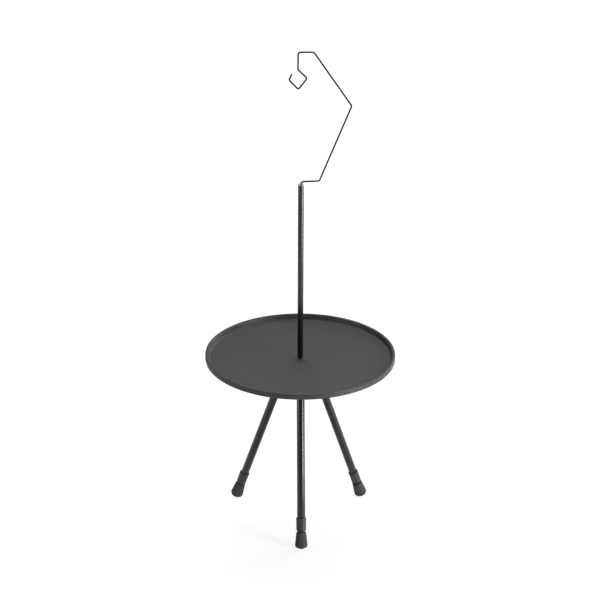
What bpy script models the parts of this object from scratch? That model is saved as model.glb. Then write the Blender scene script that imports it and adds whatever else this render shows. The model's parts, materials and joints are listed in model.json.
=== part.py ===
"""Round camp table on three telescopic legs, with a lantern pole through its tray.

Metres, +Z up. The ground is Z = 0 and the pole stands on the Z axis.
"""

import math

import bmesh
import bpy
from mathutils import Matrix, Vector

# Clearance that every pair of touching pieces keeps
GAP = 0.0003

# Tray: one pressed sheet with a raised rim and a rolled hem, sized on its upper face
TRAY_RADIUS = 0.260
TRAY_FLOOR_HEIGHT = 0.4845
TRAY_SHEET = 0.0012
TRAY_HOLE_CLEARANCE = 0.0006
POLE_SEAT_MARGIN = 0.0012
POLE_SEAT_RISE = 0.0003
RIM_RISE = 0.0140
RIM_CREST_RADIUS = 0.004
RIM_SLOPE = math.radians(75)
RIM_FOOT_FILLET = 0.004
SKIRT_FLARE = 0.001
SKIRT_DEPTH = 0.0132
HEM_RADIUS = 0.0022
HEM_TURN_UP = 0.0012

# Leg hub: a casting bolted under the tray, with a tapped hole for the pole and one for each leg
LEG_COUNT = 3
LEG_SPLAY = math.radians(20)
FIRST_LEG_AZIMUTH = math.radians(-90)
HUB_FLANGE_RADIUS = 0.050
HUB_FLANGE_THICKNESS = 0.004
HUB_CORE_TOP_RADIUS = 0.030
HUB_CORE_BOTTOM_RADIUS = 0.021
HUB_DEPTH = 0.0265
HUB_FILLET = 0.003
BOSS_MARGIN = 0.003
SEAT_OFFSET = 0.0420
SEAT_DROP = 0.0305
HUB_STUD_CIRCLE = 0.0410
HUB_STUD_RADIUS = 0.0025
HUB_STUD_LENGTH = 0.011
NUT_WIDTH = 0.008
NUT_HEIGHT = 0.0045
NUT_FLANGE_RADIUS = 0.0055
NUT_FLANGE_HEIGHT = 0.001

# Threaded studs of the pole and the legs
SCREW_RADIUS = 0.005
LEG_SCREW_LENGTH = 0.016
POLE_SCREW_LENGTH = 0.024
SCREW_CHAMFER = 0.001
SOCKET_SPARE_DEPTH = 0.002

# Lantern pole
POLE_RADIUS = 0.008
POLE_WALL = 0.0012
POLE_HEIGHT = 0.509
POLE_PLUG_FLANGE = 0.002
POLE_PLUG_DEPTH = 0.020
TOP_PLUG_FLANGE = 0.0012
TOP_PLUG_DEPTH = 0.034
TOP_PLUG_CHAMFER = 0.0006
TOP_PLUG_FLOOR = 0.004

# Lantern hook: bent round wire, corner points as (sideways, up) from the top of the pole
WIRE_RADIUS = 0.00225
WIRE_BEND_RADIUS = 0.007
WIRE_LOOP_BEND_RADIUS = 0.0045
HOOK_ARM_RISE = 0.0078
HOOK_ARM = (0.0485, 0.0095)
HOOK_ELBOW = (0.1325, 0.2205)
HOOK_CREST = (0.0320, 0.3692)
HOOK_DROP_X = -0.0090
HOOK_DROP_Z = 0.3215
LOOP_RIGHT = (0.0147, 0.2977)
LOOP_BOTTOM = (-0.0080, 0.2668)
LOOP_LEFT = (-0.0325, 0.2932)
LOOP_TIP = (-0.0250, 0.3100)

# Legs: an outer tube, a twist lock and an inner tube that slides out of it
LEG_RADIUS = 0.011
LEG_WALL = 0.0012
LEG_PLUG_FLANGE = 0.002
LEG_PLUG_DEPTH = 0.025
TUBE_CLEARANCE = 0.0008
INNER_WALL = 0.001
INNER_HEADROOM = 0.043
INNER_SEAT = 0.012
BUSH_COLLAR_HEIGHT = 0.012
BUSH_SHANK = 0.010
COLLAR_LENGTH = 0.0375
COLLAR_TOP_WALL = 0.0028
COLLAR_BOTTOM_WALL = 0.0023
COLLAR_TOP_CHAMFER = 0.0013
COLLAR_NOSE_LENGTH = 0.0045
COLLAR_NOSE_WALL = 0.0029
COLLAR_GRIP_LENGTH = 0.0185
COLLAR_LIP = 0.002
COLLAR_BORE_TAPER = 0.0002
COLLAR_FLUTES = 9
COLLAR_FLUTE_RADIUS = 0.0046
COLLAR_FLUTE_DEPTH = 0.0007
COLLET_WALL = 0.0014
COLLET_SLOTS = 4
COLLET_SLOT = 0.0016
COLLET_SLOT_DEPTH = 0.012

# Rubber foot: a fluted bell with a domed and grooved sole
FOOT_LENGTH = 0.047
FOOT_COLLAR_SPACE = 0.003
FOOT_TOP_WALL = 0.0047
FOOT_TOP_CHAMFER = 0.0009
FOOT_BELL_WALL = 0.0084
FOOT_BELL_HEIGHT = 0.0125
SOLE_DOME_RADIUS = 0.0195
SOLE_TURN_WIDTH = 0.0059
FOOT_FLUTES = 16
FOOT_FLUTE_RADIUS = 0.0024
FOOT_FLUTE_DEPTH = 0.0006
SOLE_GROOVES = 2
SOLE_GROOVE_WIDTH = 0.0026
SOLE_GROOVE_DEPTH = 0.0016
FOOT_FLAT = 0.0005

# Facets of the round shapes
TRAY_SIDES = 64
TUBE_SIDES = 24
SCREW_SIDES = 12
FLUTE_SIDES = 16
COLLAR_SIDES = 4 * COLLAR_FLUTES
FOOT_SIDES = 2 * FOOT_FLUTES
MERGE = 0.00001
SHARP_ANGLE = math.radians(32)

# Heights and radii that follow from the sizes above
TRAY_UNDERSIDE = TRAY_FLOOR_HEIGHT - TRAY_SHEET
HUB_TOP = TRAY_UNDERSIDE - GAP
SEAT_HEIGHT = HUB_TOP - SEAT_DROP
POLE_BASE = TRAY_FLOOR_HEIGHT + POLE_SEAT_RISE + GAP
POLE_TOP = TRAY_FLOOR_HEIGHT + POLE_HEIGHT
POLE_BORE = POLE_RADIUS - POLE_WALL
SCREW_HOLE = SCREW_RADIUS + GAP
TRAY_HOLE = SCREW_RADIUS + TRAY_HOLE_CLEARANCE
POLE_SEAT_RADIUS = POLE_RADIUS + POLE_SEAT_MARGIN
BOSS_RADIUS = LEG_RADIUS + BOSS_MARGIN
LEG_BORE = LEG_RADIUS - LEG_WALL
INNER_RADIUS = LEG_BORE - TUBE_CLEARANCE
INNER_BORE = INNER_RADIUS - INNER_WALL
BUSH_RADIUS = LEG_BORE - GAP
COLLAR_TOP_RADIUS = LEG_RADIUS + COLLAR_TOP_WALL
COLLAR_BOTTOM_RADIUS = LEG_RADIUS + COLLAR_BOTTOM_WALL
COLLAR_NOSE_RADIUS = INNER_RADIUS + COLLAR_NOSE_WALL
COLLAR_BOTTOM_BORE = LEG_RADIUS - COLLAR_BORE_TAPER
FOOT_TOP_RADIUS = INNER_RADIUS + FOOT_TOP_WALL
FOOT_RADIUS = INNER_RADIUS + FOOT_BELL_WALL
SOLE_DOME_EDGE = FOOT_RADIUS - SOLE_TURN_WIDTH


def clear_scene():
    for old in list(bpy.data.objects):
        bpy.data.objects.remove(old, do_unlink=True)


def new_collection(name):
    collection = bpy.data.collections.new(name)
    bpy.context.scene.collection.children.link(collection)
    return collection


def make_material(name, colour, roughness, metallic=0.0):
    """A plain finish. The colour is linear RGB."""
    material = bpy.data.materials.new(name)
    material.use_nodes = True
    shader = material.node_tree.nodes["Principled BSDF"]
    shader.inputs["Base Color"].default_value = (*colour, 1.0)
    shader.inputs["Roughness"].default_value = roughness
    shader.inputs["Metallic"].default_value = metallic
    material.diffuse_color = (*colour, 1.0)
    return material


clear_scene()
PARTS = new_collection("round_camp_table")
CUTTERS = new_collection("cutters")
BLACK_COAT = make_material("black powder coat", (0.075, 0.075, 0.075), 0.55)
BLACK_ANODISED = make_material("black anodised aluminium", (0.03, 0.03, 0.03), 0.35, 0.6)
BARE_ALUMINIUM = make_material("bare aluminium", (0.60, 0.60, 0.60), 0.30, 1.0)
BLACK_WIRE = make_material("black coated steel wire", (0.012, 0.012, 0.012), 0.40)
ZINC_STEEL = make_material("zinc plated steel", (0.45, 0.45, 0.44), 0.35, 1.0)
BLACK_NYLON = make_material("black nylon", (0.045, 0.045, 0.045), 0.50)
GREY_ACETAL = make_material("grey acetal", (0.30, 0.30, 0.30), 0.45)
BLACK_RUBBER = make_material("black rubber", (0.040, 0.040, 0.040), 0.75)


def add_object(name, mesh, collection, material=None, parent=None):
    obj = bpy.data.objects.new(name, mesh)
    collection.objects.link(obj)
    obj.parent = parent
    if material:
        mesh.materials.clear()
        mesh.materials.append(material)
    return obj


def add_cutter(name, bm):
    """A hidden solid that a Boolean uses. The bmesh is used up."""
    bmesh.ops.recalc_face_normals(bm, faces=bm.faces)
    mesh = bpy.data.meshes.new(name)
    bm.to_mesh(mesh)
    bm.free()
    cutter = add_object(name, mesh, CUTTERS)
    cutter.hide_render = True
    cutter.display_type = "WIRE"
    return cutter


def arc(centre, radius, start, end, steps):
    """Points on an arc of (radius, height) pairs, from one angle in degrees to another."""
    points = []
    for step in range(steps + 1):
        angle = math.radians(start + (end - start) * step / steps)
        points.append((centre[0] + radius * math.cos(angle), centre[1] + radius * math.sin(angle)))
    return points


def turned(name, profile, sides, closed=False):
    """An object whose (radius, height) profile is spun about Z. Its outer side runs from top to bottom."""
    bm = bmesh.new()
    points = [bm.verts.new((radius, 0, height)) for radius, height in profile]
    for first, second in zip(points, points[1:]):
        bm.edges.new((first, second))
    if closed:
        bm.edges.new((points[-1], points[0]))
    mesh = bpy.data.meshes.new(name)
    bm.to_mesh(mesh)
    bm.free()
    obj = add_object(name, mesh, PARTS)
    screw = obj.modifiers.new("spin", "SCREW")
    screw.steps = sides
    screw.render_steps = sides
    screw.use_merge_vertices = True
    screw.merge_threshold = MERGE
    screw.use_smooth_shade = True
    return obj


def boolean(obj, cutter, operation="DIFFERENCE"):
    modifier = obj.modifiers.new(f"{operation.lower()} {cutter.name}", "BOOLEAN")
    modifier.object = cutter
    modifier.operation = operation
    modifier.solver = "EXACT"


def finished_mesh(obj):
    """The object's evaluated mesh, smooth but for its real edges. The object itself is removed."""
    name = obj.name
    bpy.context.view_layer.update()
    graph = bpy.context.evaluated_depsgraph_get()
    mesh = bpy.data.meshes.new_from_object(obj.evaluated_get(graph))
    bpy.data.objects.remove(obj, do_unlink=True)
    bm = bmesh.new()
    bm.from_mesh(mesh)
    bmesh.ops.remove_doubles(bm, verts=bm.verts, dist=MERGE)
    bm.to_mesh(mesh)
    bm.free()
    mesh.name = name
    mesh.shade_smooth()
    mesh.set_sharp_from_angle(angle=SHARP_ANGLE)
    return mesh


def place(name, mesh, material, parent=None, location=(0, 0, 0)):
    obj = add_object(name, mesh, PARTS, material, parent)
    obj.location = location
    return obj


def add_cylinder(bm, radius, low, high, sides, matrix=Matrix()):
    """Adds a cylinder along Z from low to high, moved by the matrix."""
    middle = Matrix.Translation((0, 0, (low + high) / 2))
    bmesh.ops.create_cone(
        bm,
        cap_ends=True,
        segments=sides,
        radius1=radius,
        radius2=radius,
        depth=high - low,
        matrix=matrix @ middle,
    )


def add_box(bm, size, matrix):
    bmesh.ops.create_cube(bm, size=1, matrix=matrix @ Matrix.Diagonal((*size, 1)))


def leg_azimuth(index):
    return FIRST_LEG_AZIMUTH + math.tau * index / LEG_COUNT


def leg_matrix(index):
    """From a leg's own frame, whose -Z runs down the leg from its seat on the hub, to the table's."""
    azimuth = leg_azimuth(index)
    seat = Vector((SEAT_OFFSET * math.cos(azimuth), SEAT_OFFSET * math.sin(azimuth), SEAT_HEIGHT))
    turn = Matrix.Rotation(azimuth, 4, "Z") @ Matrix.Rotation(-LEG_SPLAY, 4, "Y")
    return Matrix.Translation(seat) @ turn


def foot_profile():
    """The bell's outer side as (radius, height above the sole), from the top down to the sole's middle."""
    dome_angle = math.degrees(math.asin(SOLE_DOME_EDGE / SOLE_DOME_RADIUS))
    dome = arc((0, SOLE_DOME_RADIUS), SOLE_DOME_RADIUS, dome_angle - 90, -90, 3)
    edge_height = dome[0][1]
    turn_height = FOOT_BELL_HEIGHT - edge_height
    profile = [
        (0, FOOT_LENGTH),
        (FOOT_TOP_RADIUS - FOOT_TOP_CHAMFER, FOOT_LENGTH),
        (FOOT_TOP_RADIUS, FOOT_LENGTH - FOOT_TOP_CHAMFER),
    ]
    for angle in (0, math.radians(30), math.radians(60)):
        radius = SOLE_DOME_EDGE + SOLE_TURN_WIDTH * math.cos(angle)
        profile.append((radius, FOOT_BELL_HEIGHT - turn_height * math.sin(angle)))
    return profile + dome[:-1] + [(0, 0)]


def toe_height():
    """How high the middle of the sole stands when its edge is sunk by the flat that it stands on."""
    sine = math.sin(LEG_SPLAY)
    cosine = math.cos(LEG_SPLAY)
    return max(radius * sine - height * cosine for radius, height in foot_profile()) - FOOT_FLAT


TOE_HEIGHT = toe_height()
LEG_LENGTH = (SEAT_HEIGHT - TOE_HEIGHT) / math.cos(LEG_SPLAY)
SOLE = -LEG_LENGTH
FOOT_TOP = SOLE + FOOT_LENGTH
COLLAR_BOTTOM = FOOT_TOP + FOOT_COLLAR_SPACE
COLLAR_TOP = COLLAR_BOTTOM + COLLAR_LENGTH
OUTER_END = COLLAR_TOP - COLLAR_GRIP_LENGTH
PLUG_END = -GAP - LEG_PLUG_FLANGE - LEG_PLUG_DEPTH
INNER_TOP = PLUG_END - INNER_HEADROOM - BUSH_COLLAR_HEIGHT - GAP
INNER_BOTTOM = SOLE + INNER_SEAT


def make_tray():
    """The tray's upper face is spun as an open surface, and the sheet's thickness is added below it."""
    crest = TRAY_FLOOR_HEIGHT + RIM_RISE
    crest_centre = (TRAY_RADIUS - SKIRT_FLARE - RIM_CREST_RADIUS, crest - RIM_CREST_RADIUS)
    slope = math.degrees(RIM_SLOPE)
    slope_top = arc(crest_centre, RIM_CREST_RADIUS, 90 + slope, 0, 4)
    fillet_rise = RIM_FOOT_FILLET * (1 - math.cos(RIM_SLOPE))
    slope_rise = slope_top[0][1] - TRAY_FLOOR_HEIGHT - fillet_rise
    fillet_end = slope_top[0][0] - slope_rise / math.tan(RIM_SLOPE)
    floor_edge = fillet_end - RIM_FOOT_FILLET * math.sin(RIM_SLOPE)
    fillet_centre = (floor_edge, TRAY_FLOOR_HEIGHT + RIM_FOOT_FILLET)
    hem_centre = (TRAY_RADIUS - HEM_RADIUS, crest - SKIRT_DEPTH)
    seat = TRAY_FLOOR_HEIGHT + POLE_SEAT_RISE
    profile = [
        (TRAY_HOLE, seat),
        (POLE_SEAT_RADIUS, seat),
        (POLE_SEAT_RADIUS + POLE_SEAT_RISE, TRAY_FLOOR_HEIGHT),
    ]
    profile += arc(fillet_centre, RIM_FOOT_FILLET, -90, slope - 90, 3)
    profile += slope_top
    profile += arc(hem_centre, HEM_RADIUS, 0, -180, 3)
    profile.append((profile[-1][0], profile[-1][1] + HEM_TURN_UP))
    tray = turned("tray", profile, TRAY_SIDES)
    shell = tray.modifiers.new("sheet", "SOLIDIFY")
    shell.thickness = TRAY_SHEET
    shell.offset = -1
    shell.use_even_offset = True
    place("tray", finished_mesh(tray), BLACK_COAT)


def make_hub():
    """A turned flange and core, joined with one angled boss for each leg, then bored for every screw."""
    flange_bottom = HUB_TOP - HUB_FLANGE_THICKNESS
    core_bottom = HUB_TOP - HUB_DEPTH
    profile = [
        (0, HUB_TOP),
        (HUB_FLANGE_RADIUS - GAP, HUB_TOP),
        (HUB_FLANGE_RADIUS, HUB_TOP - GAP),
        (HUB_FLANGE_RADIUS, flange_bottom + GAP),
        (HUB_FLANGE_RADIUS - GAP, flange_bottom),
    ]
    fillet_centre = (HUB_CORE_TOP_RADIUS + HUB_FILLET, flange_bottom - HUB_FILLET)
    profile += arc(fillet_centre, HUB_FILLET, 90, 180, 3)
    profile += [
        (HUB_CORE_BOTTOM_RADIUS + HUB_FILLET / 2, core_bottom + HUB_FILLET / 2),
        (HUB_CORE_BOTTOM_RADIUS, core_bottom),
        (0, core_bottom),
    ]
    hub = turned("leg_hub", profile, 2 * TUBE_SIDES)
    boss_length = SEAT_DROP / math.cos(LEG_SPLAY) + BOSS_RADIUS * math.tan(LEG_SPLAY)
    holes = bmesh.new()
    add_cylinder(holes, SCREW_HOLE, core_bottom - GAP, HUB_TOP + GAP, SCREW_SIDES)
    for index in range(LEG_COUNT):
        boss = bmesh.new()
        add_cylinder(boss, BOSS_RADIUS, 0, boss_length, TUBE_SIDES, leg_matrix(index))
        boolean(hub, add_cutter(f"boss_{index + 1}", boss), "UNION")
        socket_depth = LEG_SCREW_LENGTH + SOCKET_SPARE_DEPTH
        add_cylinder(holes, SCREW_HOLE, -GAP, socket_depth, SCREW_SIDES, leg_matrix(index))
        stud_place = Matrix.Translation(stud_position(index))
        stud_hole = HUB_STUD_RADIUS + GAP
        add_cylinder(holes, stud_hole, flange_bottom - GAP, HUB_TOP + GAP, SCREW_SIDES, stud_place)
    above = bmesh.new()
    add_cylinder(above, 2 * HUB_FLANGE_RADIUS, HUB_TOP, HUB_TOP + BOSS_RADIUS, TUBE_SIDES)
    boolean(hub, add_cutter("above_hub", above))
    boolean(hub, add_cutter("hub_holes", holes))
    place("leg_hub", finished_mesh(hub), BLACK_COAT)


def stud_position(index):
    """The studs stand between the legs."""
    azimuth = leg_azimuth(index) + math.pi / LEG_COUNT
    return Vector((HUB_STUD_CIRCLE * math.cos(azimuth), HUB_STUD_CIRCLE * math.sin(azimuth), 0))


def make_hub_fasteners():
    """A stud welded under the tray and a flange nut below the hub, at each of the hub's three holes."""
    stud_end = TRAY_UNDERSIDE - GAP - HUB_STUD_LENGTH
    stud_top = TRAY_UNDERSIDE - GAP
    stud = turned("tray_stud", screw_profile(HUB_STUD_RADIUS, stud_top, stud_end), SCREW_SIDES)
    stud_mesh = finished_mesh(stud)
    nut_top = HUB_TOP - HUB_FLANGE_THICKNESS - GAP
    hexagon = bmesh.new()
    across_corners = NUT_WIDTH / math.cos(math.pi / 6)
    add_cylinder(hexagon, across_corners / 2, nut_top - NUT_HEIGHT, nut_top - NUT_FLANGE_HEIGHT / 2, 6)
    flange_profile = [
        (0, nut_top),
        (NUT_FLANGE_RADIUS, nut_top),
        (NUT_FLANGE_RADIUS, nut_top - NUT_FLANGE_HEIGHT / 2),
        (NUT_WIDTH / 2, nut_top - NUT_FLANGE_HEIGHT * 2),
        (0, nut_top - NUT_FLANGE_HEIGHT * 2),
    ]
    nut = turned("hub_nut", flange_profile, SCREW_SIDES)
    boolean(nut, add_cutter("nut_hexagon", hexagon), "UNION")
    hole = bmesh.new()
    add_cylinder(hole, HUB_STUD_RADIUS + GAP, nut_top - NUT_HEIGHT - GAP, nut_top + GAP, SCREW_SIDES)
    boolean(nut, add_cutter("nut_hole", hole))
    nut_mesh = finished_mesh(nut)
    for index in range(LEG_COUNT):
        place(f"tray_stud_{index + 1}", stud_mesh, ZINC_STEEL, location=stud_position(index))
        place(f"hub_nut_{index + 1}", nut_mesh, ZINC_STEEL, location=stud_position(index))


def screw_profile(radius, top, bottom):
    """A plain round stud with a chamfered lower end."""
    return [
        (0, top),
        (radius, top),
        (radius, bottom + SCREW_CHAMFER),
        (radius - SCREW_CHAMFER, bottom),
        (0, bottom),
    ]


def tube_profile(outer, bore, top, bottom):
    return [(outer, top), (outer, bottom), (bore, bottom), (bore, top)]


def make_pole():
    """A plain tube, the plug with its screw at the foot, and the plug that holds the hook on top."""
    plug_top = POLE_BASE + POLE_PLUG_FLANGE
    tube_bottom = plug_top + GAP
    tube_top = POLE_TOP - TOP_PLUG_FLANGE - GAP
    tube = turned("pole", tube_profile(POLE_RADIUS, POLE_BORE, tube_top, tube_bottom), TUBE_SIDES, True)
    place("pole", finished_mesh(tube), BLACK_ANODISED)
    shank = POLE_BORE - GAP
    screw_end = POLE_BASE - POLE_SCREW_LENGTH
    profile = [
        (0, plug_top + POLE_PLUG_DEPTH),
        (shank, plug_top + POLE_PLUG_DEPTH),
        (shank, plug_top),
        (POLE_RADIUS, plug_top),
        (POLE_RADIUS, POLE_BASE),
    ]
    profile += screw_profile(SCREW_RADIUS, POLE_BASE, screw_end)[1:]
    foot_plug = turned("pole_screw_plug", profile, TUBE_SIDES)
    place("pole_screw_plug", finished_mesh(foot_plug), BLACK_ANODISED)
    flange_bottom = POLE_TOP - TOP_PLUG_FLANGE
    bore = WIRE_RADIUS + GAP
    shank_end = flange_bottom - TOP_PLUG_DEPTH
    profile = [
        (bore, POLE_TOP),
        (POLE_RADIUS - TOP_PLUG_CHAMFER, POLE_TOP),
        (POLE_RADIUS, POLE_TOP - TOP_PLUG_CHAMFER),
        (POLE_RADIUS, flange_bottom),
        (shank, flange_bottom),
        (shank, shank_end + TOP_PLUG_CHAMFER),
        (shank - TOP_PLUG_CHAMFER, shank_end),
        (0, shank_end),
    ]
    profile = [(0, shank_end + TOP_PLUG_FLOOR), (bore, shank_end + TOP_PLUG_FLOOR)] + profile
    top_plug = turned("pole_top_plug", profile, TUBE_SIDES)
    place("pole_top_plug", finished_mesh(top_plug), BARE_ALUMINIUM)


def rounded_path(corners, radii, steps):
    """The corner points of a bent wire with each inner corner turned into an arc of the given radius."""
    path = [corners[0]]
    for before, corner, after, radius in zip(corners, corners[1:], corners[2:], radii):
        back = (before - corner).normalized()
        ahead = (after - corner).normalized()
        half_angle = back.angle(ahead) / 2
        reach = radius / math.tan(half_angle)
        centre = corner + (back + ahead).normalized() * (radius / math.sin(half_angle))
        start = corner + back * reach - centre
        end = corner + ahead * reach - centre
        for step in range(steps + 1):
            path.append(centre + start.slerp(end, step / steps) * radius)
    path.append(corners[-1])
    return path


def make_hook():
    """One wire, bent in a plane: a shank in the pole's plug, an arm, two struts and a hanging loop."""
    wire_foot = -TOP_PLUG_FLANGE - TOP_PLUG_DEPTH + TOP_PLUG_FLOOR + GAP
    flat_corners = [
        (0, wire_foot),
        (0, HOOK_ARM_RISE),
        HOOK_ARM,
        HOOK_ELBOW,
        HOOK_CREST,
        (HOOK_DROP_X, HOOK_CREST[1]),
        (HOOK_DROP_X, HOOK_DROP_Z),
        LOOP_RIGHT,
        LOOP_BOTTOM,
        LOOP_LEFT,
        LOOP_TIP,
    ]
    corners = [Vector((sideways, 0, POLE_TOP + up)) for sideways, up in flat_corners]
    radii = [WIRE_BEND_RADIUS] * 5 + [WIRE_LOOP_BEND_RADIUS] * 4
    path = rounded_path(corners, radii, 4)
    curve = bpy.data.curves.new("lantern_hook", "CURVE")
    curve.dimensions = "3D"
    curve.bevel_depth = WIRE_RADIUS
    curve.bevel_resolution = 4
    curve.use_fill_caps = True
    spline = curve.splines.new("POLY")
    spline.points.add(len(path) - 1)
    for point, place_of_point in zip(spline.points, path):
        point.co = (*place_of_point, 1)
    wire = add_object("lantern_hook", curve, PARTS)
    place("lantern_hook", finished_mesh(wire), BLACK_WIRE)


def make_leg_plug_mesh():
    """The leg's top end: a screw, a flange that seats on the hub, and a shank pressed into the tube."""
    shank = LEG_BORE - GAP
    flange_bottom = -GAP - LEG_PLUG_FLANGE
    profile = [
        (0, LEG_SCREW_LENGTH),
        (SCREW_RADIUS - SCREW_CHAMFER, LEG_SCREW_LENGTH),
        (SCREW_RADIUS, LEG_SCREW_LENGTH - SCREW_CHAMFER),
        (SCREW_RADIUS, -GAP),
        (LEG_RADIUS, -GAP),
        (LEG_RADIUS, flange_bottom),
        (shank, flange_bottom),
        (shank, PLUG_END),
        (0, PLUG_END),
    ]
    return finished_mesh(turned("leg_plug", profile, TUBE_SIDES))


def make_leg_tube_mesh():
    top = -GAP - LEG_PLUG_FLANGE - GAP
    profile = tube_profile(LEG_RADIUS, LEG_BORE, top, OUTER_END)
    return finished_mesh(turned("leg_tube", profile, TUBE_SIDES, True))


def make_collar_mesh():
    """The twist lock's sleeve: a fluted nut that runs on the outer tube and narrows over the collet."""
    grip_bore = LEG_RADIUS + GAP
    lip_bore = INNER_RADIUS + 2 * GAP
    profile = [
        (COLLAR_TOP_RADIUS - COLLAR_TOP_CHAMFER, COLLAR_TOP),
        (COLLAR_TOP_RADIUS, COLLAR_TOP - COLLAR_TOP_CHAMFER),
        (COLLAR_BOTTOM_RADIUS, COLLAR_BOTTOM + COLLAR_NOSE_LENGTH),
        (COLLAR_NOSE_RADIUS, COLLAR_BOTTOM),
        (lip_bore, COLLAR_BOTTOM),
        (lip_bore, COLLAR_BOTTOM + COLLAR_LIP),
        (COLLAR_BOTTOM_BORE, COLLAR_BOTTOM + COLLAR_LIP),
        (grip_bore, OUTER_END - GAP),
        (grip_bore, COLLAR_TOP),
    ]
    collar = turned("collar", profile, COLLAR_SIDES, True)
    flutes = bmesh.new()
    for index in range(COLLAR_FLUTES):
        turn = Matrix.Rotation(math.tau * index / COLLAR_FLUTES, 4, "Z")
        distance = COLLAR_TOP_RADIUS + COLLAR_FLUTE_RADIUS - COLLAR_FLUTE_DEPTH
        low = COLLAR_BOTTOM + COLLAR_NOSE_LENGTH
        high = COLLAR_TOP - 3 * COLLAR_TOP_CHAMFER
        matrix = turn @ Matrix.Translation((distance, 0, 0))
        add_cylinder(flutes, COLLAR_FLUTE_RADIUS, low, high, FLUTE_SIDES, matrix)
    boolean(collar, add_cutter("collar_flutes", flutes))
    return finished_mesh(collar)


def make_collet_mesh():
    """The split ring below the outer tube that the collar squeezes on the inner tube."""
    bore = INNER_RADIUS + GAP
    top = OUTER_END - GAP
    bottom = COLLAR_BOTTOM + COLLAR_LIP + GAP
    profile = [
        (bore + COLLET_WALL, top),
        (COLLAR_BOTTOM_BORE - GAP, bottom),
        (bore, bottom),
        (bore, top),
    ]
    collet = turned("collet", profile, TUBE_SIDES, True)
    slots = bmesh.new()
    for index in range(COLLET_SLOTS):
        turn = Matrix.Rotation(math.tau * (index + 0.5) / COLLET_SLOTS, 4, "Z")
        middle = Matrix.Translation((INNER_RADIUS, 0, bottom + COLLET_SLOT_DEPTH / 2 - GAP))
        add_box(slots, (LEG_RADIUS, COLLET_SLOT, COLLET_SLOT_DEPTH + GAP), turn @ middle)
    boolean(collet, add_cutter("collet_slots", slots))
    return finished_mesh(collet)


def make_inner_tube_mesh():
    profile = tube_profile(INNER_RADIUS, INNER_BORE, INNER_TOP, INNER_BOTTOM)
    return finished_mesh(turned("inner_tube", profile, TUBE_SIDES, True))


def make_bush_mesh():
    """The guide at the inner tube's top end, which keeps it centred in the outer tube."""
    top = INNER_TOP + GAP + BUSH_COLLAR_HEIGHT
    shank = INNER_BORE - GAP
    profile = [
        (0, top),
        (BUSH_RADIUS, top),
        (BUSH_RADIUS, INNER_TOP + GAP),
        (shank, INNER_TOP + GAP),
        (shank, INNER_TOP - BUSH_SHANK),
        (0, INNER_TOP - BUSH_SHANK),
    ]
    return finished_mesh(turned("guide_bush", profile, TUBE_SIDES))


def make_foot_mesh():
    """A moulded bell with its bore for the inner tube, flutes down its side, grooves across its sole
    and a flat where it stands on the ground."""
    profile = [(radius, SOLE + height) for radius, height in foot_profile()]
    foot = turned("foot", profile, FOOT_SIDES)
    bore = bmesh.new()
    add_cylinder(bore, INNER_RADIUS + GAP, INNER_BOTTOM - GAP, FOOT_TOP + GAP, TUBE_SIDES)
    boolean(foot, add_cutter("foot_bore", bore))
    bell_rise = FOOT_LENGTH - FOOT_TOP_CHAMFER - FOOT_BELL_HEIGHT
    lean = math.atan2(FOOT_RADIUS - FOOT_TOP_RADIUS, bell_rise)
    flutes = bmesh.new()
    for index in range(FOOT_FLUTES):
        turn = Matrix.Rotation(math.tau * index / FOOT_FLUTES, 4, "Z")
        distance = FOOT_RADIUS + FOOT_FLUTE_RADIUS - FOOT_FLUTE_DEPTH
        low_end = Matrix.Translation((distance, 0, SOLE + FOOT_BELL_HEIGHT))
        tilt = Matrix.Rotation(-lean, 4, "Y")
        length = bell_rise - 5 * FOOT_TOP_CHAMFER
        matrix = turn @ low_end @ tilt
        add_cylinder(flutes, FOOT_FLUTE_RADIUS, 0, length, FLUTE_SIDES, matrix)
    boolean(foot, add_cutter("foot_flutes", flutes))
    for index in range(SOLE_GROOVES):
        groove = bmesh.new()
        turn = Matrix.Rotation(math.pi * (index + 0.5) / SOLE_GROOVES, 4, "Z")
        size = (4 * FOOT_RADIUS, SOLE_GROOVE_WIDTH, 2 * SOLE_GROOVE_DEPTH)
        add_box(groove, size, Matrix.Translation((0, 0, SOLE)) @ turn)
        boolean(foot, add_cutter(f"sole_groove_{index + 1}", groove))
    ground = bmesh.new()
    block = 4 * FOOT_RADIUS
    toe = Matrix.Translation((0, 0, SOLE)) @ Matrix.Rotation(LEG_SPLAY, 4, "Y")
    add_box(ground, (block, block, block), toe @ Matrix.Translation((0, 0, -TOE_HEIGHT - block / 2)))
    boolean(foot, add_cutter("ground_flat", ground))
    return finished_mesh(foot)


def make_legs():
    """Every leg is a copy of the same seven pieces under an empty that holds its seat and splay."""
    pieces = [
        ("leg_plug", make_leg_plug_mesh(), BLACK_ANODISED),
        ("leg_tube", make_leg_tube_mesh(), BLACK_ANODISED),
        ("leg_collet", make_collet_mesh(), GREY_ACETAL),
        ("twist_collar", make_collar_mesh(), BLACK_NYLON),
        ("inner_tube", make_inner_tube_mesh(), BLACK_ANODISED),
        ("guide_bush", make_bush_mesh(), GREY_ACETAL),
        ("rubber_foot", make_foot_mesh(), BLACK_RUBBER),
    ]
    for index in range(LEG_COUNT):
        seat = bpy.data.objects.new(f"leg_seat_{index + 1}", None)
        PARTS.objects.link(seat)
        seat.matrix_world = leg_matrix(index)
        for name, mesh, material in pieces:
            place(f"{name}_{index + 1}", mesh, material, parent=seat)


make_tray()
make_hub()
make_hub_fasteners()
make_pole()
make_hook()
make_legs()
bpy.context.view_layer.update()
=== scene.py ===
import json
import math

import bmesh
import bpy
from mathutils import Matrix, Vector

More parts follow.
